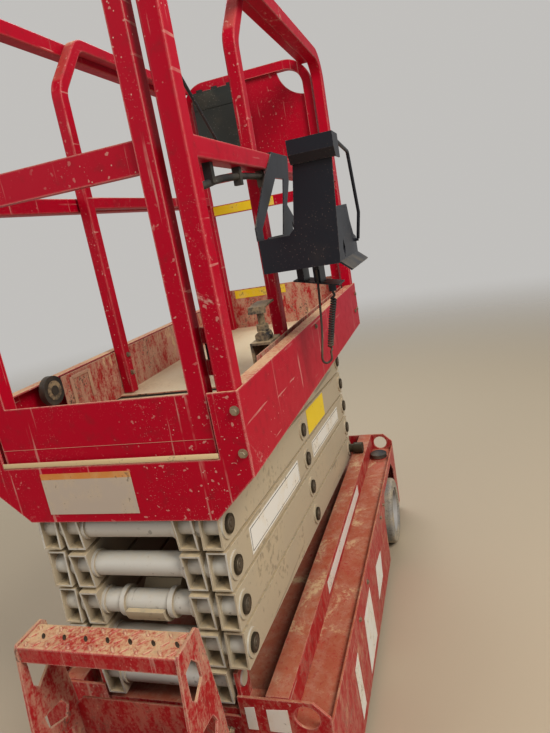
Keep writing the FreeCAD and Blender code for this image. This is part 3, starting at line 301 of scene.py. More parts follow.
@functools.cache
def worn_paint(name, paint, splash, dusting=1.0, chips=1.0, fade=0.8, soil=0.0, mud=0.0):
    """Paint with chalking, specks, drips and smears of plaster, scratches, rubbed edges, dust.

    Soil is the trodden dirt on level faces, and also sets the painted shade on level faces between the
    roller rails; mud is wiped over everything.
    """
    hues = bpy.context.scene.lift_colours
    skin = Finish(name, roughness=0.4)
    skin.shine(0.16)
    patches = skin.noise(3.2, 5.0, 0.6)
    mottle = skin.noise(38.0, 3.0)
    grain = skin.noise(9.0, 3.0)
    broken = skin.noise(120.0, 4.0, 0.7)
    shade = skin.mix(getattr(hues, paint), hues.faded, patches.over(0.46, 0.80) * fade)
    shade = skin.mix(shade, hues.grime_and_shade, mottle.over(0.50, 0.85) * 0.30)
    specks = skin.dots(260.0, 0.10, 0.16) * grain.over(0.50 - 0.1 * splash, 0.62)
    drops = skin.dots(62.0, 0.06, 0.11) * patches.over(0.46, 0.60)
    wide = skin.noise(6.5, 7.0, 0.72, twist=0.8)
    smear = (wide * 0.8 + broken * 0.2).over(0.635 - 0.06 * splash, 0.69 - 0.05 * splash)
    drip_lines = skin.noise(75.0, 3.0, 0.5, vector=skin.stretched((1.0, 1.0, 0.035)))
    drips = drip_lines.over(0.64, 0.69) * grain.over(0.42, 0.58)
    hairs = skin.noise(90.0, 2.0, 0.4, vector=skin.stretched((0.05, 0.9, 1.0), (0.3, 0.5, 0.2)))
    hairs = hairs.over(0.68, 0.70) * patches.over(0.40, 0.6)
    dried = (smear * 0.6).most(specks * 0.75).most(drops * 0.85).most(drips * 0.42).most(hairs * 0.5)
    shade = skin.mix(shade, hues.plaster, dried)
    rubbed = skin.convex_edges(0.005) * broken.over(0.28, 0.46) * chips
    shade = skin.mix(shade, hues.plaster, rubbed * 0.75)
    lying = skin.upward() * (patches * 0.5 + broken * 0.5).over(0.34, 0.56)
    shade = skin.mix(shade, hues.dust, lying * dusting)
    if mud:
        strokes = skin.noise(46.0, 6.0, 0.75, vector=skin.stretched((1.0, 1.0, 0.35), (0.5, 0.2, 0.0)))
        wiped = (strokes * 0.55 + broken * 0.30 + grain * 0.15).over(0.475 - 0.08 * mud, 0.56)
        shade = skin.mix(shade, hues.mud, wiped * mud)
        caked = (strokes * 0.5 + patches * 0.5).over(0.57, 0.61)
        shade = skin.mix(shade, hues.dust, caked * mud * 0.7)
        shade = skin.mix(shade, hues.grime_and_shade, (grain * 0.4 + broken * 0.6).over(0.56, 0.62) * mud * 0.8)
    if soil:
        trodden = skin.upward() * (grain * 0.6 + broken * 0.4).over(0.32, 0.50)
        tone = skin.mix(hues.soil, hues.mud, (mottle * 0.5 + wide * 0.5).over(0.42, 0.62) * 0.55)
        tone = skin.mix(tone, hues.base_crimson, broken.over(0.52, 0.66) * 0.5)
        shade = skin.mix(shade, tone, trodden * soil)
        sand = skin.upward() * (wide * 0.75 + broken * 0.25).over(0.53, 0.62)
        shade = skin.mix(shade, hues.dust, sand * soil * 0.8)
        # painted shade: level faces near the middle plane, on the ledge between the roller rails under the
        # stack, are darkened
        aside = skin.maths("ABSOLUTE", skin.along(1) - ORIGIN.y)
        shade = skin.mix(shade, hues.grime_and_shade, (1.0 - aside.over(0.225, 0.262)) * skin.upward() * soil * 0.25)
    skin.colour(shade)
    skin.rough((0.30 + mottle * 0.16 + dried * 0.38 + lying * 0.4).capped(0.95))
    skin.bump(dried * 0.7 + broken * 0.10 - rubbed * 0.3, 0.45, 0.0009)
    return skin.material


def platform_paint():
    """Crimson paint of the platform and the rails."""
    wear = bpy.context.scene.lift_wear
    return worn_paint("crimson_paint", "crimson", wear.splash, wear.dusting, wear.chips, fade=0.07)


def chassis_paint():
    """The base's older paint, dirty where it is level, with painted shade on the ledge under the stack."""
    wear = bpy.context.scene.lift_wear
    return worn_paint("chassis_paint", "base_crimson", wear.splash * 1.2, wear.dusting * 0.5, wear.chips,
                      fade=0.6, soil=0.85, mud=0.38)


def trodden_paint():
    """Inner sides of the toe boards, scuffed by boots and coated with dust."""
    return worn_paint("trodden_paint", "base_crimson", bpy.context.scene.lift_wear.splash * 2.0,
                      soil=0.25, mud=1.0)


def ladder_paint():
    """The ladder's paint: chalked and muddy."""
    return worn_paint("ladder_paint", "base_crimson", bpy.context.scene.lift_wear.splash * 2.2,
                      soil=0.15, mud=0.75)


def tread_paint():
    """The treads' paint, with pale dust trodden into it."""
    return worn_paint("tread_paint", "base_crimson", bpy.context.scene.lift_wear.splash * 2.6,
                      dusting=0.9, fade=0.5, mud=0.22)


@functools.cache
def stack_paint(kind="stack"):
    """Warm grey paint, rubbed, with dust on top and grease near the pins; its pale edges are partly wear
    and partly painted highlight. The tubes have the same paint, made cooler and paler as painted sky light
    on them.
    """
    hues = bpy.context.scene.lift_colours
    skin = Finish(f"{kind}_paint", roughness=0.45)
    patches = skin.noise(4.5, 4.0)
    fine = skin.noise(70.0, 3.0)
    # painted light: the tubes get a cooler, paler grey than the arms for the sky light on them
    paint = hues.skylit_tube_grey if kind == "tube" else hues.stack_grey
    shade = skin.mix(paint, hues.dust, patches.over(0.45, 0.8) * 0.25)
    shade = skin.mix(shade, hues.grime_and_shade, (patches * 0.5 + fine * 0.5).over(0.56, 0.66) * 0.35)
    rubs = skin.noise(45.0, 2.0, 0.5, vector=skin.stretched((0.06, 1.0, 1.0)))
    shade = skin.mix(shade, hues.grime_and_shade, rubs.over(0.66, 0.72) * 0.4)
    # pale edges: partly rubbed paint, partly a painted highlight where the edges catch the light
    edges = skin.convex_edges(0.003) * fine.over(0.4, 0.6)
    shade = skin.mix(shade, hues.label_white, edges * 0.4)
    lying = skin.upward() * fine.over(0.3, 0.6)
    shade = skin.mix(shade, hues.dust, lying * (0.15 if kind == "tube" else 0.5))
    skin.colour(shade)
    skin.rough(0.42 + patches * 0.2 + lying * 0.25)
    skin.bump(fine, 0.25, 0.0006)
    return skin.material


@functools.cache
def bare_metal(name="dull_steel", hue=None, rough=0.38):
    """Turned steel, dulled, with grease in the hollows."""
    hues = bpy.context.scene.lift_colours
    skin = Finish(name, roughness=rough, metallic=0.9)
    fine = skin.noise(120.0, 3.0)
    wide = skin.noise(14.0, 3.0)
    shade = skin.mix(hue or hues.bare_steel, hues.grime_and_shade, wide.over(0.42, 0.68) * 0.6)
    skin.colour(shade)
    skin.metal(0.95 - wide.over(0.42, 0.68) * 0.5)
    skin.rough(rough + fine * 0.22)
    skin.bump(fine, 0.2, 0.0004)
    return skin.material


def pin_steel():
    """Dark greasy pin heads."""
    return bare_metal("pin_steel", (0.10, 0.085, 0.06), 0.45)


@functools.cache
def black_steel():
    """Satin black powder coat, with handling marks and a little dust."""
    hues = bpy.context.scene.lift_colours
    skin = Finish("black_steel", roughness=0.38)
    wide = skin.noise(8.0, 4.0)
    fine = skin.noise(240.0, 2.0)
    # the blue tint of the black is painted sheen
    shade = skin.mix(hues.black, hues.dust, wide.over(0.5, 0.8) * 0.04)
    specks = skin.dots(190.0, 0.10, 0.15) * wide.over(0.44, 0.60)
    shade = skin.mix(shade, hues.plaster, specks * 0.55)
    shade = skin.mix(shade, hues.dust, skin.upward() * wide.over(0.35, 0.7) * 0.35)
    edges = skin.convex_edges(0.002) * fine.over(0.45, 0.6)
    shade = skin.mix(shade, hues.bare_steel, edges * 0.4)
    skin.colour(shade)
    skin.rough(0.24 + wide * 0.24)
    skin.bump(fine, 0.12, 0.0003)
    return skin.material


@functools.cache
def dusty_steel():
    """Black steel under a coat of trodden dust."""
    hues = bpy.context.scene.lift_colours
    skin = Finish("dusty_steel", roughness=0.7)
    wide = skin.noise(22.0, 5.0, 0.65)
    fine = skin.noise(160.0, 3.0)
    shade = skin.mix(hues.black, hues.dust, (wide * 0.7 + fine * 0.3).over(0.36, 0.66) * 0.62)
    shade = skin.mix(shade, hues.dust, skin.upward() * 0.45)
    skin.colour(shade)
    skin.rough(0.55 + wide * 0.4)
    skin.bump(fine, 0.3, 0.0006)
    return skin.material


@functools.cache
def black_plastic():
    """Moulded black plastic, grained and scuffed."""
    hues = bpy.context.scene.lift_colours
    skin = Finish("black_plastic", roughness=0.55)
    wide = skin.noise(7.0, 5.0)
    grain = skin.cells(900.0)
    scuff = skin.noise(40.0, 3.0, 0.6, vector=skin.stretched((1.0, 0.2, 1.0)))
    shade = skin.mix(hues.plastic, hues.dust, wide.over(0.42, 0.75) * 0.28)
    shade = skin.mix(shade, hues.label_white, scuff.over(0.68, 0.76) * 0.25)
    skin.colour(shade)
    skin.rough(0.5 + wide * 0.2)
    skin.bump(grain, 0.2, 0.0003)
    return skin.material


@functools.cache
def box_plastic():
    """Grey-green moulded plastic of the document box, scuffed."""
    hues = bpy.context.scene.lift_colours
    skin = Finish("box_plastic", roughness=0.5)
    wide = skin.noise(9.0, 5.0)
    grain = skin.cells(700.0)
    scuff = skin.noise(34.0, 3.0, 0.6, vector=skin.stretched((1.0, 1.0, 0.15)))
    shade = skin.mix(hues.box_plastic, hues.dust, wide.over(0.48, 0.80) * 0.06)
    specks = skin.dots(150.0, 0.08, 0.14) * wide.over(0.46, 0.60)
    shade = skin.mix(shade, hues.label_white, specks * 0.6)
    shade = skin.mix(shade, hues.label_white, scuff.over(0.68, 0.76) * 0.15)
    skin.colour(shade)
    skin.rough(0.45 + wide * 0.2)
    skin.bump(grain, 0.2, 0.0003)
    return skin.material


@functools.cache
def tyre_rubber():
    """Solid grey rubber, scrubbed and dusty."""
    hues = bpy.context.scene.lift_colours
    skin = Finish("tyre_rubber", roughness=0.85)
    wide = skin.noise(12.0, 5.0)
    fine = skin.noise(150.0, 3.0)
    shade = skin.mix(hues.rubber, hues.dust, wide.over(0.35, 0.75) * 0.6)
    shade = skin.mix(shade, hues.grime_and_shade, fine.over(0.5, 0.7) * 0.4)
    skin.colour(shade)
    skin.rough(0.8 + fine * 0.15)
    skin.bump(fine, 0.4, 0.0008)
    return skin.material


@functools.cache
def rim_paint():
    """Grey paint of the rims, rusty at the edges."""
    hues = bpy.context.scene.lift_colours
    skin = Finish("rim_paint", roughness=0.5)
    wide = skin.noise(16.0, 5.0)
    shade = skin.mix(hues.rim, hues.grime_and_shade, wide.over(0.45, 0.75) * 0.55)
    shade = skin.mix(shade, hues.rust, skin.convex_edges(0.002) * wide.over(0.4, 0.6) * 0.5)
    skin.colour(shade)
    skin.rough(0.45 + wide * 0.3)
    skin.bump(wide, 0.2, 0.0005)
    return skin.material


@functools.cache
def deck_metal():
    """Deck sheet under a coat of trodden tan dust."""
    hues = bpy.context.scene.lift_colours
    skin = Finish("deck_metal", roughness=0.8)
    wide = skin.noise(4.0, 6.0, 0.62)
    fine = skin.noise(110.0, 4.0)
    studs = skin.studs(0.018)
    shade = skin.mix(hues.cream, hues.dust, wide.over(0.44, 0.70) * 0.45)
    shade = skin.mix(shade, hues.grime_and_shade, (wide * 0.4 + fine * 0.6).over(0.56, 0.68) * 0.18)
    shade = skin.mix(shade, hues.grime_and_shade, studs * 0.16)
    skin.colour(shade)
    skin.rough(0.72 + fine * 0.2)
    skin.bump(fine * 0.5 + studs, 0.5, 0.0009)
    return skin.material


@functools.cache
def label(name, hue_name, rubbed=0.35):
    """A blank printed label, scuffed and splashed."""
    hues = bpy.context.scene.lift_colours
    skin = Finish(name, roughness=0.35)
    wide = skin.noise(14.0, 5.0, 0.65)
    fine = skin.noise(120.0, 3.0)
    shade = skin.mix(getattr(hues, hue_name), hues.dust, wide.over(0.45, 0.7) * rubbed)
    shade = skin.mix(shade, hues.grime_and_shade, (wide * 0.5 + fine * 0.5).over(0.58, 0.64) * 0.5)
    skin.colour(shade)
    skin.rough(0.35 + wide * 0.3)
    skin.bump(fine, 0.15, 0.0003)
    return skin.material


def local(x, y, z):
    """A place given in machine axes."""
    return ORIGIN + Vector((x, y, z))


def finished(name, shape, material, body, replaced=(), smooth=35.0):
    """Turns a bmesh into a piece that rides on a body."""
    mesh = bpy.data.meshes.new(name)
    shape.to_mesh(mesh)
    shape.free()
    mesh.materials.append(material)
    mesh.shade_smooth()
    mesh.set_sharp_from_angle(angle=math.radians(smooth))
    piece = bpy.data.objects.new(name, mesh)
    bpy.context.scene.collection.objects.link(piece)
    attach(piece, body)
    if replaced:
        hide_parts(*replaced)
    return piece


def body_of(node):
    """The body that a CAD node belongs to."""
    return next(body for body, nodes in BODIES.items() if node in nodes)


def softened(node, material, edge, segments=2):
    """A copy of a CAD node with flat faces joined and sharp edges rounded, in its place."""
    shape = bmesh.new()
    shape.from_mesh(NODES[node].data)
    bmesh.ops.remove_doubles(shape, verts=shape.verts, dist=MERGED)
    bmesh.ops.dissolve_limit(
        shape, angle_limit=math.radians(FLAT), verts=shape.verts, edges=shape.edges)
    sharp = [line for line in shape.edges
             if line.is_manifold and line.calc_face_angle(0.0) > math.radians(SHARP)]
    bmesh.ops.bevel(
        shape, geom=sharp, offset=edge, offset_type="OFFSET", affect="EDGES",
        segments=segments, profile=0.5, clamp_overlap=True, material=-1)
    piece = finished(f"{node}_dressed", shape, material, body_of(node), (node,))
    piece.modifiers.new("Shading", "WEIGHTED_NORMAL").keep_sharp = True
    return piece


def add_rod(shape, axis, start, radius, long, segments=24, radius_end=None):
    """A round bar in machine axes, from start along axis."""
    end = radius if radius_end is None else radius_end
    turn = Vector((0.0, 0.0, 1.0)).rotation_difference(Vector(axis)).to_matrix().to_4x4()
    middle = local(*start) + Vector(axis).normalized() * long / 2
    bmesh.ops.create_cone(
        shape, cap_ends=True, segments=segments, radius1=radius, radius2=end, depth=long,
        matrix=Matrix.Translation(middle) @ turn)


def add_bar(shape, low, high, edge=0.0, segments=2):
    """A box between two corners in machine axes, with rounded edges."""
    low, high = local(*low), local(*high)
    made = bmesh.ops.create_cube(shape, size=1.0, matrix=Matrix.Translation((low + high) / 2)
                                 @ Matrix.Diagonal((*(high - low), 1.0)))
    if edge:
        lines = {line for corner in made["verts"] for line in corner.link_edges}
        bmesh.ops.bevel(shape, geom=list(lines), offset=edge, offset_type="OFFSET",
                        affect="EDGES", segments=segments, profile=0.5, material=-1)


def add_bolt(shape, place, axis, across, high=0.55):
    """A washer, a hexagon head and its chamfer on a face, in shares of the width across flats."""
    along = Vector(axis).normalized()
    washer, corner = across * 0.12, across * 0.577
    add_rod(shape, axis, place, across * 0.72, washer, 20)
    seat = Vector(place) + along * washer
    add_rod(shape, axis, seat, corner, across * high, 6)
    add_rod(shape, axis, seat + along * across * high, across * 0.48, across * 0.06, 6, across * 0.40)


def add_plate(shape, corners, out, thick=LABEL_THICK):
    """A thin plate on a face: its corners in machine axes and the way that it looks."""
    out = Vector(out).normalized()
    base = [shape.verts.new(local(*corner) + out * LABEL_GAP) for corner in corners]
    lifted = bmesh.ops.extrude_face_region(shape, geom=[shape.faces.new(base)])["geom"]
    bmesh.ops.translate(shape, verts=[part for part in lifted if isinstance(part, bmesh.types.BMVert)],
                        vec=out * thick)
    bmesh.ops.recalc_face_normals(shape, faces=shape.faces)


def sticker(name, body, corners, out, hue_name, margin=0.0):
    """A blank label. With a margin it has a thin dark line round its face."""
    shape = bmesh.new()
    add_plate(shape, corners, out)
    white = finished(name, shape, label(f"{hue_name}_print", hue_name), body)
    if not margin:
        return white
    middle = sum((Vector(corner) for corner in corners), Vector()) / len(corners)
    # the dark line is a smaller plate on the label, and a still smaller pale one covers its middle
    for step, material in ((1.0, black_plastic()), (1.35, white.active_material)):
        shape = bmesh.new()
        inner = []
        for corner in corners:
            inward = middle - Vector(corner)
            inner.append(Vector(corner) + Vector((
                math.copysign(min(abs(part), margin * step), part) for part in inward)))
        add_plate(shape, inner, out, LABEL_THICK + LABEL_GAP * step)
        finished(f"{name}_line_{step}", shape, material, body)
    return white


def on_arm(level, along, up, out=0.0):
    """A place on the right outer arm of a level: along it from its rear pin, and up across it."""
    return (LOW_PIN.x + along * math.cos(SLOPE) + up * math.sin(SLOPE), -ARM_FACE - out,
            LOW_PIN.z + level * LEVEL_HIGH - along * math.sin(SLOPE) + up * math.cos(SLOPE))


def galvanised():
    """Zinc plated bolts."""
    return bare_metal("galvanised", tuple(bpy.context.scene.lift_colours.galvanised), 0.42)


class GuardRails(bpy.types.Operator):
    """Rails, gate, hoops and front frame in worn crimson paint."""

    bl_idname = "lift.guard_rails"
    bl_label = "Guard Rails"

    def execute(self, context):
        edge = context.scene.lift_sizes.tube_edge
        for node in ("side_rail_left", "side_rail_right", "gate_frame", "extension_rail_left",
                     "extension_rail_right", "front_frame"):
            softened(node, platform_paint(), edge, 3)
        softened("front_sheet", platform_paint(), context.scene.lift_sizes.sheet_edge)
        return {"FINISHED"}


class Platform(bpy.types.Operator):
    """Skirts, rear plate and hinge beam, with the dusty decks between them."""

    bl_idname = "lift.platform"
    bl_label = "Platform"

    # how far the roll-out deck's sheet lies above the fixed one, at most
    SHEET_UP = 0.012

    def execute(self, context):
        edge = context.scene.lift_sizes.sheet_edge
        for node in ("platform_skirts", "rear_plate", "platform_hinge"):
            softened(node, platform_paint(), edge)
        for node, paint, floor in (("platform_deck", platform_paint(), DECK_TOP),
                                   ("extension_deck", trodden_paint(), DECK_TOP + self.SHEET_UP)):
            piece = softened(node, paint, edge)
            piece.data.materials.append(deck_metal())
            for face in piece.data.polygons:
                if face.normal.z > 0.9 and face.center.z < floor + 0.001:
                    face.material_index = 1
        softened("deck_pads", black_plastic(), edge)
        return {"FINISHED"}


class Stack(bpy.types.Operator):
    """Scissor arms, their pins, the rollers and the lift cylinder."""

    bl_idname = "lift.stack"
    bl_label = "Stack"

    # pin heads start so far from the middle plane; their flat faces lie further out and are this large
    HEADS, HEAD_FACES, HEAD_AREA = ARM_FACE + 0.0045, ARM_FACE + 0.006, 0.0004
    # radius, height, segments and end radius of a head's two worn steps
    STEPS = ((0.0145, 0.0011, 28, 0.0135), (0.0075, 0.0026, 20, 0.0065))
    CYLINDER_EDGE = 0.001

    def execute(self, context):
        edge = context.scene.lift_sizes.arm_edge
        for level in range(1, LEVELS + 1):
            self.caps(self.arms(f"inner_arms_{level}", edge), f"inner_arms_{level}")
            self.arms(f"outer_arms_{level}", edge)
        for node in ("lift_barrel", "lift_rod"):
            softened(node, stack_paint(), self.CYLINDER_EDGE)
        for node in ("lower_roller_axle", "upper_rollers"):
            softened(node, pin_steel(), self.CYLINDER_EDGE)
        return {"FINISHED"}

    def arms(self, node, edge):
        """An arm set with greasy pin heads, and cross tubes in a cooler, paler copy of its paint that
        stands in for sky light on them.
        """
        piece = softened(node, stack_paint(), edge, 3)
        piece.data.materials.append(pin_steel())
        piece.data.materials.append(stack_paint("tube"))
        for face in piece.data.polygons:
            if abs(face.center.y - ORIGIN.y) > self.HEADS:
                face.material_index = 1
            elif self.on_tube(face):
                face.material_index = 2
        return piece

    def on_tube(self, face):
        """Whether a face lies round one of the rear pins' axes."""
        x, up = face.center.x - ORIGIN.x - LOW_PIN.x, face.center.z - LOW_PIN.z
        away = math.hypot(x, up - round(up / LEVEL_HIGH) * LEVEL_HIGH)
        return abs(face.normal.y) < 0.2 and away < TUBE_REACH

    def caps(self, piece, node):
        """A worn centre on each pin head of an arm set."""
        shape = bmesh.new()
        for face in piece.data.polygons:
            reach = abs(face.center.y - ORIGIN.y)
            if abs(face.normal.y) > 0.99 and reach > self.HEAD_FACES and face.area > self.HEAD_AREA:
                way = (0.0, math.copysign(1.0, face.normal.y), 0.0)
                for step in self.STEPS:
                    add_rod(shape, way, face.center - ORIGIN, *step)
        finished(f"{node}_caps", shape, bare_metal("cap_steel", (0.20, 0.17, 0.13), 0.5), body_of(node))


class Chassis(bpy.types.Operator):
    """Base frame, roller rails, ladder and the power block."""

    bl_idname = "lift.chassis"
    bl_label = "Chassis"

    BLOCK_EDGE, AXLE_EDGE = 0.004, 0.001

    def execute(self, context):
        edge = context.scene.lift_sizes.sheet_edge
        for node in ("chassis_pan", "roller_rails", "side_wall_left", "side_wall_right",
                     "end_plate_rear", "end_plate_front", "base_hinge", "front_beam",
                     "ladder_back"):
            softened(node, chassis_paint(), edge)
        softened("ladder_sides", ladder_paint(), edge)
        softened("ladder_treads", tread_paint(), edge)
        softened("power_block", black_plastic(), self.BLOCK_EDGE)
        softened("rear_axle", bare_metal(), self.AXLE_EDGE)
        return {"FINISHED"}


class Wheels(bpy.types.Operator):
    """Tyres, rims and steering knuckles."""

    bl_idname = "lift.wheels"
    bl_label = "Wheels"

    TYRE_EDGE, RIM_EDGE, KNUCKLE_EDGE = 0.003, 0.0015, 0.001

    def execute(self, context):
        for end in ("front", "rear"):
            for side in ("left", "right"):
                softened(f"tyre_{end}_{side}", tyre_rubber(), self.TYRE_EDGE)
                softened(f"rim_{end}_{side}", rim_paint(), self.RIM_EDGE)
        for side in ("left", "right"):
            softened(f"knuckle_{side}", bare_metal(), self.KNUCKLE_EDGE)
        return {"FINISHED"}


class Controls(bpy.types.Operator):
    """Control tray, document box, foot pedal, harness and gate hinges."""

    bl_idname = "lift.controls"
    bl_label = "Controls"

    PLATE_EDGE, BOX_EDGE, CABLE_EDGE = 0.0008, 0.002, 0.0006

    def execute(self, context):
        for node in ("control_tray", "gate_hinges"):
            softened(node, black_steel(), self.PLATE_EDGE)
        softened("foot_pedal", dusty_steel(), self.PLATE_EDGE)
        softened("document_box", box_plastic(), self.BOX_EDGE, 3)
        softened("harness", black_plastic(), self.CABLE_EDGE)
        return {"FINISHED"}


class ControlCord(bpy.types.Operator):
    """The control box's cord: a straight lead that turns up into a curly part."""

    bl_idname = "lift.control_cord"
    bl_label = "Control Cord"

    # the tray's near lower corner, then the route's points from it, in metres
    TRAY = (0.330, -0.381, 0.300)
    LEAD = ((0.088, 0.000, -0.014), (0.088, 0.000, -0.048), (0.088, 0.004, -0.100),
            (0.088, 0.007, -0.146), (0.088, 0.012, -0.188), (0.088, 0.017, -0.216),
            (0.090, 0.020, -0.236), (0.094, 0.013, -0.245), (0.099, 0.004, -0.243),
            (0.101, -0.003, -0.236))
    CURL = ((0.101, -0.003, -0.222), (0.101, -0.003, -0.206), (0.101, -0.010, -0.172),
            (0.100, -0.020, -0.124), (0.100, -0.030, -0.088), (0.100, -0.030, -0.070))
    PER_TURN = 12

    def place(self, offset):
        """A place given from the tray's corner."""
        x, y, z = self.TRAY
        return local(x + offset[0], y + offset[1], DECK_TOP + z + offset[2])

    def execute(self, context):
        sizes = context.scene.lift_sizes
        route = [self.place(offset) for offset in self.CURL]
        points = [self.place(offset) for offset in self.LEAD]
        points += self.helix(route, sizes.curl_wide / 2 - sizes.cord_thick / 2,
                             sizes.curl_pitch, sizes.curl_end)
        data = self.nurbs("control_cord", points)
        data.bevel_depth = sizes.cord_thick / 2
        data.bevel_resolution = 3
        data.use_fill_caps = True
        data.materials.append(black_plastic())
        cord = bpy.data.objects.new("control_cord", data)
        context.scene.collection.objects.link(cord)
        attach(cord, "platform")
        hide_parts("cord_lead", "cord_curl")
        run = sum((far - near).length for near, far in zip(points, points[1:]))
        return {"FINISHED"}

    def nurbs(self, name, points):
        """A smooth curve that is led by the points."""
        data = bpy.data.curves.new(name, "CURVE")
        data.dimensions = "3D"
        data.resolution_u = 4
        spline = data.splines.new("NURBS")
        spline.points.add(len(points) - 1)
        for knot, point in zip(spline.points, points):
            knot.co = (*point, 1.0)
        spline.order_u = 3
        spline.use_endpoint_u = True
        return data

    def helix(self, route, radius, pitch, end):
        """Points wound round the route's own smooth line."""
        guide = bpy.data.objects.new("curl_guide", self.nurbs("curl_guide", route))
        bpy.context.scene.collection.objects.link(guide)
        mesh = bpy.data.meshes.new_from_object(guide)
        line = [corner.co.copy() for corner in mesh.vertices]
        bpy.data.objects.remove(guide)
        runs = [(far - near).length for near, far in zip(line, line[1:])]
        # the first and the last turn are drawn out, so the cord leaves the axis gently
        turns = round((sum(runs) - 2 * end) / pitch) + 2
        pitch = (sum(runs) - 2 * end) / (turns - 2)
        points = []
        run, passed = 0, 0.0
        for step in range(turns * self.PER_TURN + 1):
            turn = step / self.PER_TURN
            opening, closing = min(turn, 1.0), min(turns - turn, 1.0)
            along = end * (opening + 1.0 - closing) + pitch * (turn - opening - 1.0 + closing)
            while run < len(runs) - 1 and along > passed + runs[run]:
                passed += runs[run]
                run += 1
            ahead = (line[run + 1] - line[run]).normalized()
            middle = line[run] + ahead * (along - passed)
            across = ahead.cross(Vector((1.0, 0.0, 0.0))).normalized()
            spread = radius * min(opening, closing)
            angle = math.tau * turn
            points.append(middle + spread * (
                across * math.cos(angle) + ahead.cross(across) * math.sin(angle)))
        return points


class Labels(bpy.types.Operator):
    """Blank labels where the machine carries printed ones."""

    bl_idname = "lift.labels"
    bl_label = "Labels"

    # level, from, to along the arm, half height, colour, width of the border
    ARM_LABELS = (
        (3, 0.094, 0.512, 0.031, "label_white", 0.005),
        (3, 0.688, 1.108, 0.026, "label_white", 0.005),
        (4, 0.682, 0.918, 0.039, "label_yellow", 0.0))
    # rear and front ends and heights of the labels on the right side wall
    WALL_LABELS = (
        ((0.240, 0.060), (0.290, 0.062), (0.283, 0.225), (0.232, 0.215)),
        ((0.400, 0.052), (0.545, 0.058), (0.535, 0.232), (0.412, 0.222)),
        ((0.655, 0.100), (0.770, 0.106), (0.790, 0.190), (0.672, 0.208)))

    # rear and front ends, then lower and upper edges, of the label on the roller rail
    RAIL_LABEL = (0.405, 0.98, 0.303, 0.340)
    # left and right ends of the labels on the rear end plate, then their lower edge and upper corners
    END_LABELS, END_HEIGHTS = ((-0.200, -0.177), (-0.274, -0.226)), (0.270, 0.330, 0.326)
    # the rear plate's label: left and right ends, lower edge, and lower and upper edges of its header
    PLATE_ENDS, PLATE_HEIGHTS = (0.161, -0.053), (0.798, 0.877, 0.890)
    # yellow bands, seen from the deck: left and right ends, lower and upper edges
    BAR_BAND = (0.22, -0.04, 1.388, 1.422)
    TOE_BAND = (0.206, -0.02, 1.034)
    # from the front toe board's face and top edge, and from the front frame's middle
    TOE_IN, BAR_IN = 0.004, 0.010

    def execute(self, context):
        for number, (level, start, end, half, hue, border) in enumerate(self.ARM_LABELS, start=1):
            corners = [on_arm(level, start, -half), on_arm(level, end, -half),
                       on_arm(level, end, half), on_arm(level, start, half)]
            sticker(f"arm_label_{number}", f"outer_{level}", corners, RIGHTWARD, hue, border)
        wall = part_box("side_wall_right")[0].y - ORIGIN.y
        for number, corners in enumerate(self.WALL_LABELS, start=1):
            sticker(f"wall_label_{number}", "base", [(x, wall, z) for x, z in corners],
                    RIGHTWARD, "label_white")
        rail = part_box("roller_rails")[0].y - ORIGIN.y
        rear, front, low, high = self.RAIL_LABEL
        sticker("rail_label", "base", [(rear, rail, low), (front, rail, low),
                                       (front, rail, high), (rear, rail, high)],
                RIGHTWARD, "label_white")
        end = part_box("end_plate_rear")[0].x - ORIGIN.x
        low, near_high, far_high = self.END_HEIGHTS
        for number, (near, far) in enumerate(self.END_LABELS, start=1):
            sticker(f"end_label_{number}", "base", [(end, near, low), (end, far, low),
                                                    (end, far, far_high), (end, near, near_high)],
                    REARWARD, "label_white")
        low, high, head = self.PLATE_HEIGHTS
        self.rear_label("plate_label", "platform", REAR_FACE, *self.PLATE_ENDS, low, high, "label_grey")
        self.rear_label("plate_label_head", "platform", REAR_FACE, *self.PLATE_ENDS, high, head,
                        "label_orange")
        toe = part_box("extension_deck")[1].x - ORIGIN.x - self.TOE_IN
        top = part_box("extension_deck")[1].z - self.TOE_IN
        self.rear_label("toe_band", "extension", toe, *self.TOE_BAND, top, "label_yellow")
        bar = (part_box("front_frame")[0].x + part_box("front_frame")[1].x) / 2 - ORIGIN.x - self.BAR_IN
        self.rear_label("bar_band", "extension", bar, *self.BAR_BAND, "label_yellow")
        return {"FINISHED"}

    def rear_label(self, name, body, x, left, right, low, high, hue):
        """A label that looks to the rear."""
        sticker(name, body, [(x, left, low), (x, right, low), (x, right, high), (x, left, high)],
                REARWARD, hue)


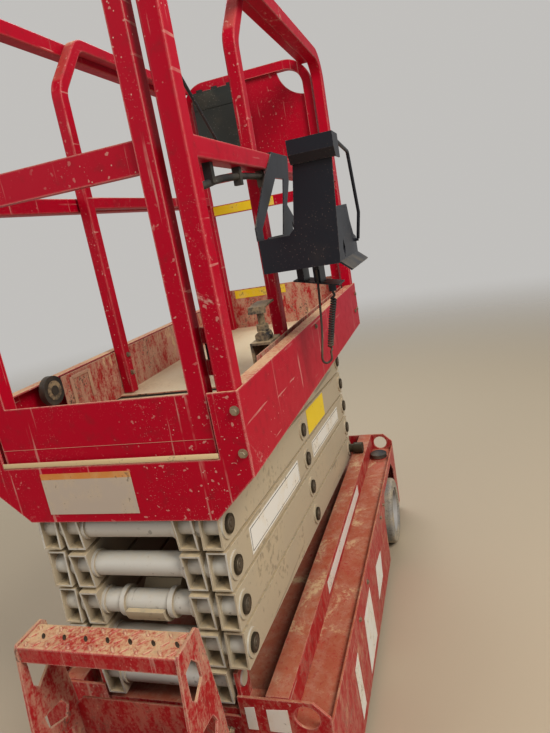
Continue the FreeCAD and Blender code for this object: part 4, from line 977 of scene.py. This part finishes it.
class Fittings(bpy.types.Operator):
    """Bolts, tread marks, packed dust, and small pieces of rubber, sheet and wire."""

    bl_idname = "lift.fittings"
    bl_label = "Fittings"

    # bolts, as places in machine axes or from a box's side
    PLATE_BOLTS_Y, PLATE_BOLTS_Z = 0.2965, (0.914, 0.996)
    SKIRT_BOLTS = ((0.62, 1.012), (1.30, 0.93), (1.352, 0.93), (1.352, 0.99))
    WALL_BOLTS_X, WALL_BOLTS_Z = (0.36, 0.52, 0.88, 0.97), 0.262
    LADDER_BOLTS_X, LADDER_BOLTS_Z = -0.078, (0.20, 0.34)
    LADDER_INSIDE, LADDER_OUTSIDE = 0.170, 0.176
    HOOP_LEG_IN, HOOP_SIDE_IN, HOOP_BOLTS_Z = 0.016, 0.032, (1.018, 0.965)
    # a raised tread mark's half sizes, its lean in degrees and the rows on a tread
    MARK, LEAN, ROWS, WORN_ROW = (0.0098, 0.0034, 0.0024), 42.0, 3, 1
    # the upper tread's setback, the lower tread's drop, the first row's place and the rows' spacing
    UPPER_BACK, LOWER_DROP, FIRST_ROW, ROW_SHARE = 0.018, 0.294, 0.012, 0.92
    # the seal's place from the roll-out deck's rear end, its width, and its heights over the deck
    SEAL_X, SEAL_WIDE, SEAL_IN, SEAL_HEIGHTS = 0.227, 0.010, 0.006, (0.0005, 0.0048)
    # the dusty ledge and the fold line: their heights, how far they stand out and sink in, their ends
    SILL_HEIGHTS, SILL_PAST, SILL_OUT, SILL_EDGE = (0.9065, 0.9165), 0.004, (0.0012, 0.0005), 0.0004
    FOLD_HEIGHTS, FOLD_OUT, FOLD_IN = (0.9422, 0.9429), (0.0006, 0.0004), (0.020, 0.002)
    # the stay's upper and lower end, its radius, and the lower and upper corner of its foot from there
    STAY, STAY_RADIUS = ((0.020, -0.274, 1.623), (0.216, -0.274, 1.4662)), 0.003
    STAY_FOOT, STAY_EDGE = ((-0.012, -0.007, -0.0006), (0.018, 0.007, 0.0022)), 0.0008
    # the hinge leaves' heights, and their distances from the gate's side
    LEAVES, LEAF_IN, KNUCKLE_IN = ((1.083, 1.168), (1.622, 1.712)), (0.0155, 0.0030), (0.0150, 0.0060)
    # the ledge discs' place, and each step's height over the pan, radius, thickness, segments, top radius
    DISC_IN, DISC_Y = 0.095, 0.316
    DISC_STEPS = ((-0.013, 0.0335, 0.014, 40, None), (0.001, 0.0335, 0.003, 40, 0.028),
                  (0.001, 0.011, 0.0042, 24, 0.010))
    # the toe roller's place, and each step's distance from the board, radius, width and segments
    ROLLER_X, ROLLER_Z = 0.205, 1.008
    ROLLER_STEPS = ((0.014, 0.036, 0.016, 40), (0.014, 0.012, 0.019, 20))
    ROLLER_HUB = (-0.002, 0.024, 0.0015, 32)
    # the pressed rectangle's bars: rear and front ends, lower and upper edges
    PRESSED = ((0.266, 0.278, 0.948, 1.022), (0.342, 0.354, 0.948, 1.022), (0.274, 0.346, 1.014, 1.024))
    PRESSED_HIGH, PRESSED_EDGE = 0.003, 0.0014
    HUB_NUTS, HUB_RADIUS, HUB_FACE = 5, 0.052, 0.006

    def execute(self, context):
        self.bolts(context.scene.lift_sizes.bolt_across)
        self.tread_marks(context.scene.lift_sizes.tread_pitch)
        self.deck_seal()
        self.sill()
        self.ledge_discs()
        self.hinge_leaves()
        self.stay()
        self.toe_board()
        self.hub_nuts(context.scene.lift_sizes.bolt_across)
        return {"FINISHED"}

    def bolts(self, across):
        """Bolts of the platform, the chassis with its ladder, and the roll-out hoops' feet."""
        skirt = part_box("platform_skirts")[1].y - ORIGIN.y
        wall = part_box("side_wall_left")[1].y - ORIGIN.y
        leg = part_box("extension_rail_left")[0].x - ORIGIN.x + self.HOOP_LEG_IN
        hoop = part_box("extension_rail_left")[1].y - ORIGIN.y - self.HOOP_SIDE_IN
        platform, chassis, hoops = bmesh.new(), bmesh.new(), bmesh.new()
        for side in (-1.0, 1.0):
            outward, inward = (0.0, side, 0.0), (0.0, -side, 0.0)
            for z in self.PLATE_BOLTS_Z:
                add_bolt(platform, (REAR_FACE, side * self.PLATE_BOLTS_Y, z), REARWARD, across * 0.75, 0.4)
            for x, z in self.SKIRT_BOLTS:
                add_bolt(platform, (x, side * skirt, z), outward, across * 0.6, 0.4)
            for x in self.WALL_BOLTS_X:
                add_bolt(chassis, (x, side * wall, self.WALL_BOLTS_Z), outward, across * 0.6, 0.4)
            for z in self.LADDER_BOLTS_Z:
                add_bolt(chassis, (self.LADDER_BOLTS_X, side * self.LADDER_INSIDE, z), inward,
                         across * 0.7, 0.5)
                add_bolt(chassis, (self.LADDER_BOLTS_X, side * self.LADDER_OUTSIDE, z), outward,
                         across * 0.7, 0.35)
            for z in self.HOOP_BOLTS_Z:
                add_bolt(hoops, (leg, side * hoop, z), inward, across * 0.62, 0.5)
        finished("platform_bolts", platform, galvanised(), "platform")
        finished("chassis_bolts", chassis, galvanised(), "base")
        finished("hoop_bolts", hoops, galvanised(), "extension")

    def tread_marks(self, pitch):
        """Raised marks on the ladder's treads, leaning left and right in turn, some worn dark."""
        painted, worn = bmesh.new(), bmesh.new()
        low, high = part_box("ladder_treads")
        rear, right, wide = low.x - ORIGIN.x, low.y - ORIGIN.y, high.y - low.y
        count = int(wide / pitch)
        for start, top in ((rear + self.UPPER_BACK, high.z), (rear, high.z - self.LOWER_DROP)):
            for column in range(count):
                for row in range(self.ROWS):
                    lean = 1.0 if (column + row) % 2 else -1.0
                    x = start + self.FIRST_ROW + row * pitch * self.ROW_SHARE
                    y = right + (column + 0.5) * wide / count
                    place = (Matrix.Translation(local(x, y, top))
                             @ Matrix.Rotation(lean * math.radians(self.LEAN), 4, "Z")
                             @ Matrix.Diagonal((*self.MARK, 1.0)))
                    shape = worn if row == self.WORN_ROW and lean > 0.0 else painted
                    bmesh.ops.create_uvsphere(shape, u_segments=10, v_segments=6, radius=1.0,
                                              matrix=place)
        finished("tread_marks", painted, tread_paint(), "base", smooth=60.0)
        finished("tread_marks_worn", worn, bare_metal("tread_steel", (0.13, 0.10, 0.07), 0.5),
                 "base", smooth=60.0)

    def deck_seal(self):
        """Dark rubber under the rear edge of the roll-out deck's sheet."""
        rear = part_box("extension_deck")[0].x - ORIGIN.x + self.SEAL_X
        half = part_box("extension_deck")[1].y - ORIGIN.y - self.SEAL_IN
        low, high = self.SEAL_HEIGHTS
        shape = bmesh.new()
        add_bar(shape, (rear, -half, DECK_TOP + low), (rear + self.SEAL_WIDE, half, DECK_TOP + high))
        finished("deck_seal", shape, black_plastic(), "extension")

    def sill(self):
        """Pale dust packed on the rear plate's ledge and along the fold of the gate's sheet."""
        shape = bmesh.new()
        low, high = (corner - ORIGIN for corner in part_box("gate_frame"))
        half, (out, sunk) = high.y + self.SILL_PAST, self.SILL_OUT
        add_bar(shape, (REAR_FACE - out, -half, self.SILL_HEIGHTS[0]),
                (REAR_FACE + sunk, half, self.SILL_HEIGHTS[1]), self.SILL_EDGE)
        finished("rear_sill", shape, label("packed_dust", "dust", 0.2), "platform")
        shape = bmesh.new()
        (out, sunk), (right, left) = self.FOLD_OUT, self.FOLD_IN
        add_bar(shape, (low.x - out, low.y + right, self.FOLD_HEIGHTS[0]),
                (low.x + sunk, high.y - left, self.FOLD_HEIGHTS[1]))
        finished("gate_fold", shape, label("dried_mud", "mud", 0.6), "gate")

    def stay(self):
        """A thin black stay from the right rear post down to the mid rail."""
        shape = bmesh.new()
        high, low = (Vector(end) for end in self.STAY)
        add_rod(shape, low - high, high, self.STAY_RADIUS, (low - high).length, 16)
        add_bar(shape, *(low + Vector(corner) for corner in self.STAY_FOOT), self.STAY_EDGE)
        finished("rail_stay", shape, black_steel(), "platform")

    def hinge_leaves(self):
        """Black leaves in the gap between the gate's post and the right rear post."""
        shape = bmesh.new()
        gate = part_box("gate_frame")[0].y - ORIGIN.y
        (leaf_far, leaf_near), (far, near) = self.LEAF_IN, self.KNUCKLE_IN
        for low, high in self.LEAVES:
            for z in (low, (low + high) / 2 + 0.006):
                add_bar(shape, (-0.002, gate - leaf_far, z),
                        (0.012, gate - leaf_near, z + (high - low) / 2 - 0.012), 0.002)
            add_bar(shape, (-0.0005, gate - far, low + 0.01), (0.008, gate - near, high - 0.01))
        finished("hinge_leaves", shape, black_plastic(), "platform")

    def ledge_discs(self):
        """Rubber discs on the bosses at the front corners of the base."""
        shape = bmesh.new()
        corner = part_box("chassis_pan")[1] - ORIGIN
        for side in (-1.0, 1.0):
            for up, radius, high, segments, end in self.DISC_STEPS:
                add_rod(shape, (0.0, 0.0, 1.0),
                        (corner.x - self.DISC_IN, side * self.DISC_Y, corner.z + up),
                        radius, high, segments, end)
        finished("ledge_discs", shape, black_plastic(), "base")

    def toe_board(self):
        """The roller behind the left toe board's end, and the pressed rectangle beside it."""
        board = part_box("extension_deck")[1].y - ORIGIN.y
        shape = bmesh.new()
        for step in self.ROLLER_STEPS:
            self.roller(shape, board, *step)
        finished("toe_roller", shape, black_plastic(), "platform")
        shape = bmesh.new()
        self.roller(shape, board, *self.ROLLER_HUB)
        finished("toe_roller_hub", shape, dusty_steel(), "platform")
        shape = bmesh.new()
        inner = board - self.PRESSED_HIGH
        for rear, front, low, high in self.PRESSED:
            add_bar(shape, (rear, inner - self.PRESSED_HIGH, low), (front, inner, high), self.PRESSED_EDGE)
        finished("pressed_frame", shape, label("dried_mud", "mud", 0.6), "extension")

    def roller(self, shape, board, out, radius, wide, segments):
        """One step of the toe roller, from its distance outside the board's face."""
        add_rod(shape, RIGHTWARD, (self.ROLLER_X, board + out, self.ROLLER_Z), radius, wide, segments)

    def hub_nuts(self, across):
        """A ring of nuts on each rim."""
        for end in ("front", "rear"):
            for side, sign in (("left", 1.0), ("right", -1.0)):
                rim = f"rim_{end}_{side}"
                low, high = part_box(rim)
                middle = (low + high) / 2 - ORIGIN
                shape = bmesh.new()
                for number in range(self.HUB_NUTS):
                    angle = math.tau * (number + 0.25) / self.HUB_NUTS
                    place = middle + Vector((math.cos(angle) * self.HUB_RADIUS, sign * self.HUB_FACE,
                                             math.sin(angle) * self.HUB_RADIUS))
                    add_bolt(shape, place, (0.0, sign, 0.0), across * 0.7, 0.6)
                finished(f"hub_nuts_{end}_{side}", shape, galvanised(), body_of(rim))


class Stage(bpy.types.Operator):
    """Pale floor, soft studio light and the camera at the photograph's angle."""

    bl_idname = "lift.stage"
    bl_label = "Stage"

    # the camera's place in machine axes, in metres, and its angles in degrees
    EYE = (-0.901, -0.683, 1.29)
    YAW, PITCH, ROLL = 18.66, -13.38, -10.2
    # the focal length and the picture's height in pixels, and the sensor in millimetres
    FOCAL_PIXELS, FRAME_TALL, SENSOR = 565.1, 733.0, 36.0
    GAMMA, EXPOSURE = 0.84, 0.30
    # the floor's colour and half width, and where it starts and ends to fade, in metres
    FLOOR, FLOOR_HALF, FADE = (0.50, 0.425, 0.32), 30.0, (2.6, 8.0)
    # the sky's colour, and its strength as light and as the backdrop
    SKY, AMBIENT, BACKDROP = (1.0, 0.98, 0.95, 1.0), 0.33, 0.48
    # name, place and target in machine axes, size, power, tint
    LAMPS = (
        ("key", (-1.2, -3.4, 4.2), (0.5, 0.0, 0.9), 2.0, 165.0, (1.0, 0.96, 0.90)),
        ("fill", (-2.8, 2.8, 3.0), (0.3, 0.0, 1.0), 3.0, 45.0, (1.0, 0.95, 0.88)),
        ("back", (4.0, 1.0, 4.5), (0.6, 0.0, 1.0), 3.0, 90.0, (0.86, 0.93, 1.0)))

    def execute(self, context):
        scene = context.scene
        yaw, pitch, roll = (math.radians(angle) for angle in (self.YAW, self.PITCH, self.ROLL))
        ahead = Vector((math.cos(pitch) * math.cos(yaw), math.cos(pitch) * math.sin(yaw),
                        math.sin(pitch)))
        level = Vector((math.sin(yaw), -math.cos(yaw), 0.0))
        upright = level.cross(ahead)
        right = level * math.cos(roll) + upright * math.sin(roll)
        over = upright * math.cos(roll) - level * math.sin(roll)
        lens = bpy.data.cameras.new("camera")
        lens.sensor_width = self.SENSOR
        lens.lens = self.FOCAL_PIXELS / self.FRAME_TALL * self.SENSOR
        lens.clip_start, lens.clip_end = 0.05, 60.0
        camera = bpy.data.objects.new("camera", lens)
        scene.collection.objects.link(camera)
        turn = Matrix((right, over, -ahead)).transposed().to_4x4()
        camera.matrix_world = Matrix.Translation(local(*self.EYE)) @ turn
        scene.camera = camera
        scene.view_settings.view_transform = "Standard"
        scene.view_settings.gamma = self.GAMMA
        scene.view_settings.exposure = self.EXPOSURE
        self.floor(scene)
        self.lights(scene)
        return {"FINISHED"}

    def floor(self, scene):
        """A plain floor that fades into the backdrop."""
        shape = bmesh.new()
        bmesh.ops.create_grid(shape, x_segments=1, y_segments=1, size=self.FLOOR_HALF)
        mesh = bpy.data.meshes.new("studio_floor")
        shape.to_mesh(mesh)
        shape.free()
        pale = Finish("studio_floor", roughness=0.75)
        pale.colour(self.FLOOR)
        far = pale.add("ShaderNodeVectorMath", {0: pale.place}, output=1, operation="LENGTH")
        pale.feed(pale.surface.inputs["Alpha"], 1.0 - far.over(*self.FADE))
        mesh.materials.append(pale.material)
        floor = bpy.data.objects.new("studio_floor", mesh)
        scene.collection.objects.link(floor)

    def lights(self, scene):
        """The sky and three soft lamps."""
        world = bpy.data.worlds.new("studio")
        world.use_nodes = True
        tree = world.node_tree
        sky = tree.nodes["Background"]
        sky.inputs["Color"].default_value = self.SKY
        seen = tree.nodes.new("ShaderNodeLightPath").outputs["Is Camera Ray"]
        strength = tree.nodes.new("ShaderNodeMapRange")
        tree.links.new(seen, strength.inputs["Value"])
        strength.inputs["To Min"].default_value = self.AMBIENT
        strength.inputs["To Max"].default_value = self.BACKDROP
        tree.links.new(strength.outputs["Result"], sky.inputs["Strength"])
        scene.world = world
        for name, place, target, size, power, tint in self.LAMPS:
            lamp = bpy.data.lights.new(name, "AREA")
            lamp.size = size
            lamp.energy = power
            lamp.color = tint
            light = bpy.data.objects.new(name, lamp)
            scene.collection.objects.link(light)
            away = local(*place) - local(*target)
            turn = away.to_track_quat("Z", "Y").to_matrix().to_4x4()
            light.matrix_world = Matrix.Translation(local(*place)) @ turn


class LiftPanel(bpy.types.Panel):
    """Lists the pieces, the colours and the sizes."""

    bl_idname = "VIEW3D_PT_lift"
    bl_label = "Scissor Lift"
    bl_space_type = "VIEW_3D"
    bl_region_type = "UI"
    bl_category = "Lift"

    def draw(self, context):
        for operator in OPERATORS:
            self.layout.operator(operator.bl_idname)
        for group in (context.scene.lift_colours, context.scene.lift_wear,
                      context.scene.lift_sizes):
            box = self.layout.box()
            for name in group.__annotations__:
                box.prop(group, name)


GROUPS = (("lift_colours", LiftColours), ("lift_wear", LiftWear), ("lift_sizes", LiftSizes))
OPERATORS = (Stage, ControlCord, GuardRails, Platform, Stack, Chassis, Wheels, Controls, Labels, Fittings)


def register():
    for name, group in GROUPS:
        bpy.utils.register_class(group)
        setattr(bpy.types.Scene, name, bpy.props.PointerProperty(type=group))
    for operator in OPERATORS:
        bpy.utils.register_class(operator)
    bpy.utils.register_class(LiftPanel)


def unregister():
    bpy.utils.unregister_class(LiftPanel)
    for operator in reversed(OPERATORS):
        bpy.utils.unregister_class(operator)
    for name, group in reversed(GROUPS):
        delattr(bpy.types.Scene, name)
        bpy.utils.unregister_class(group)


def main():
    register()
    bpy.ops.lift.stage()
    bpy.ops.lift.control_cord()
    bpy.ops.lift.guard_rails()
    bpy.ops.lift.platform()
    bpy.ops.lift.stack()
    bpy.ops.lift.chassis()
    bpy.ops.lift.wheels()
    bpy.ops.lift.controls()
    bpy.ops.lift.labels()
    bpy.ops.lift.fittings()


if __name__ == "__main__":
    main()
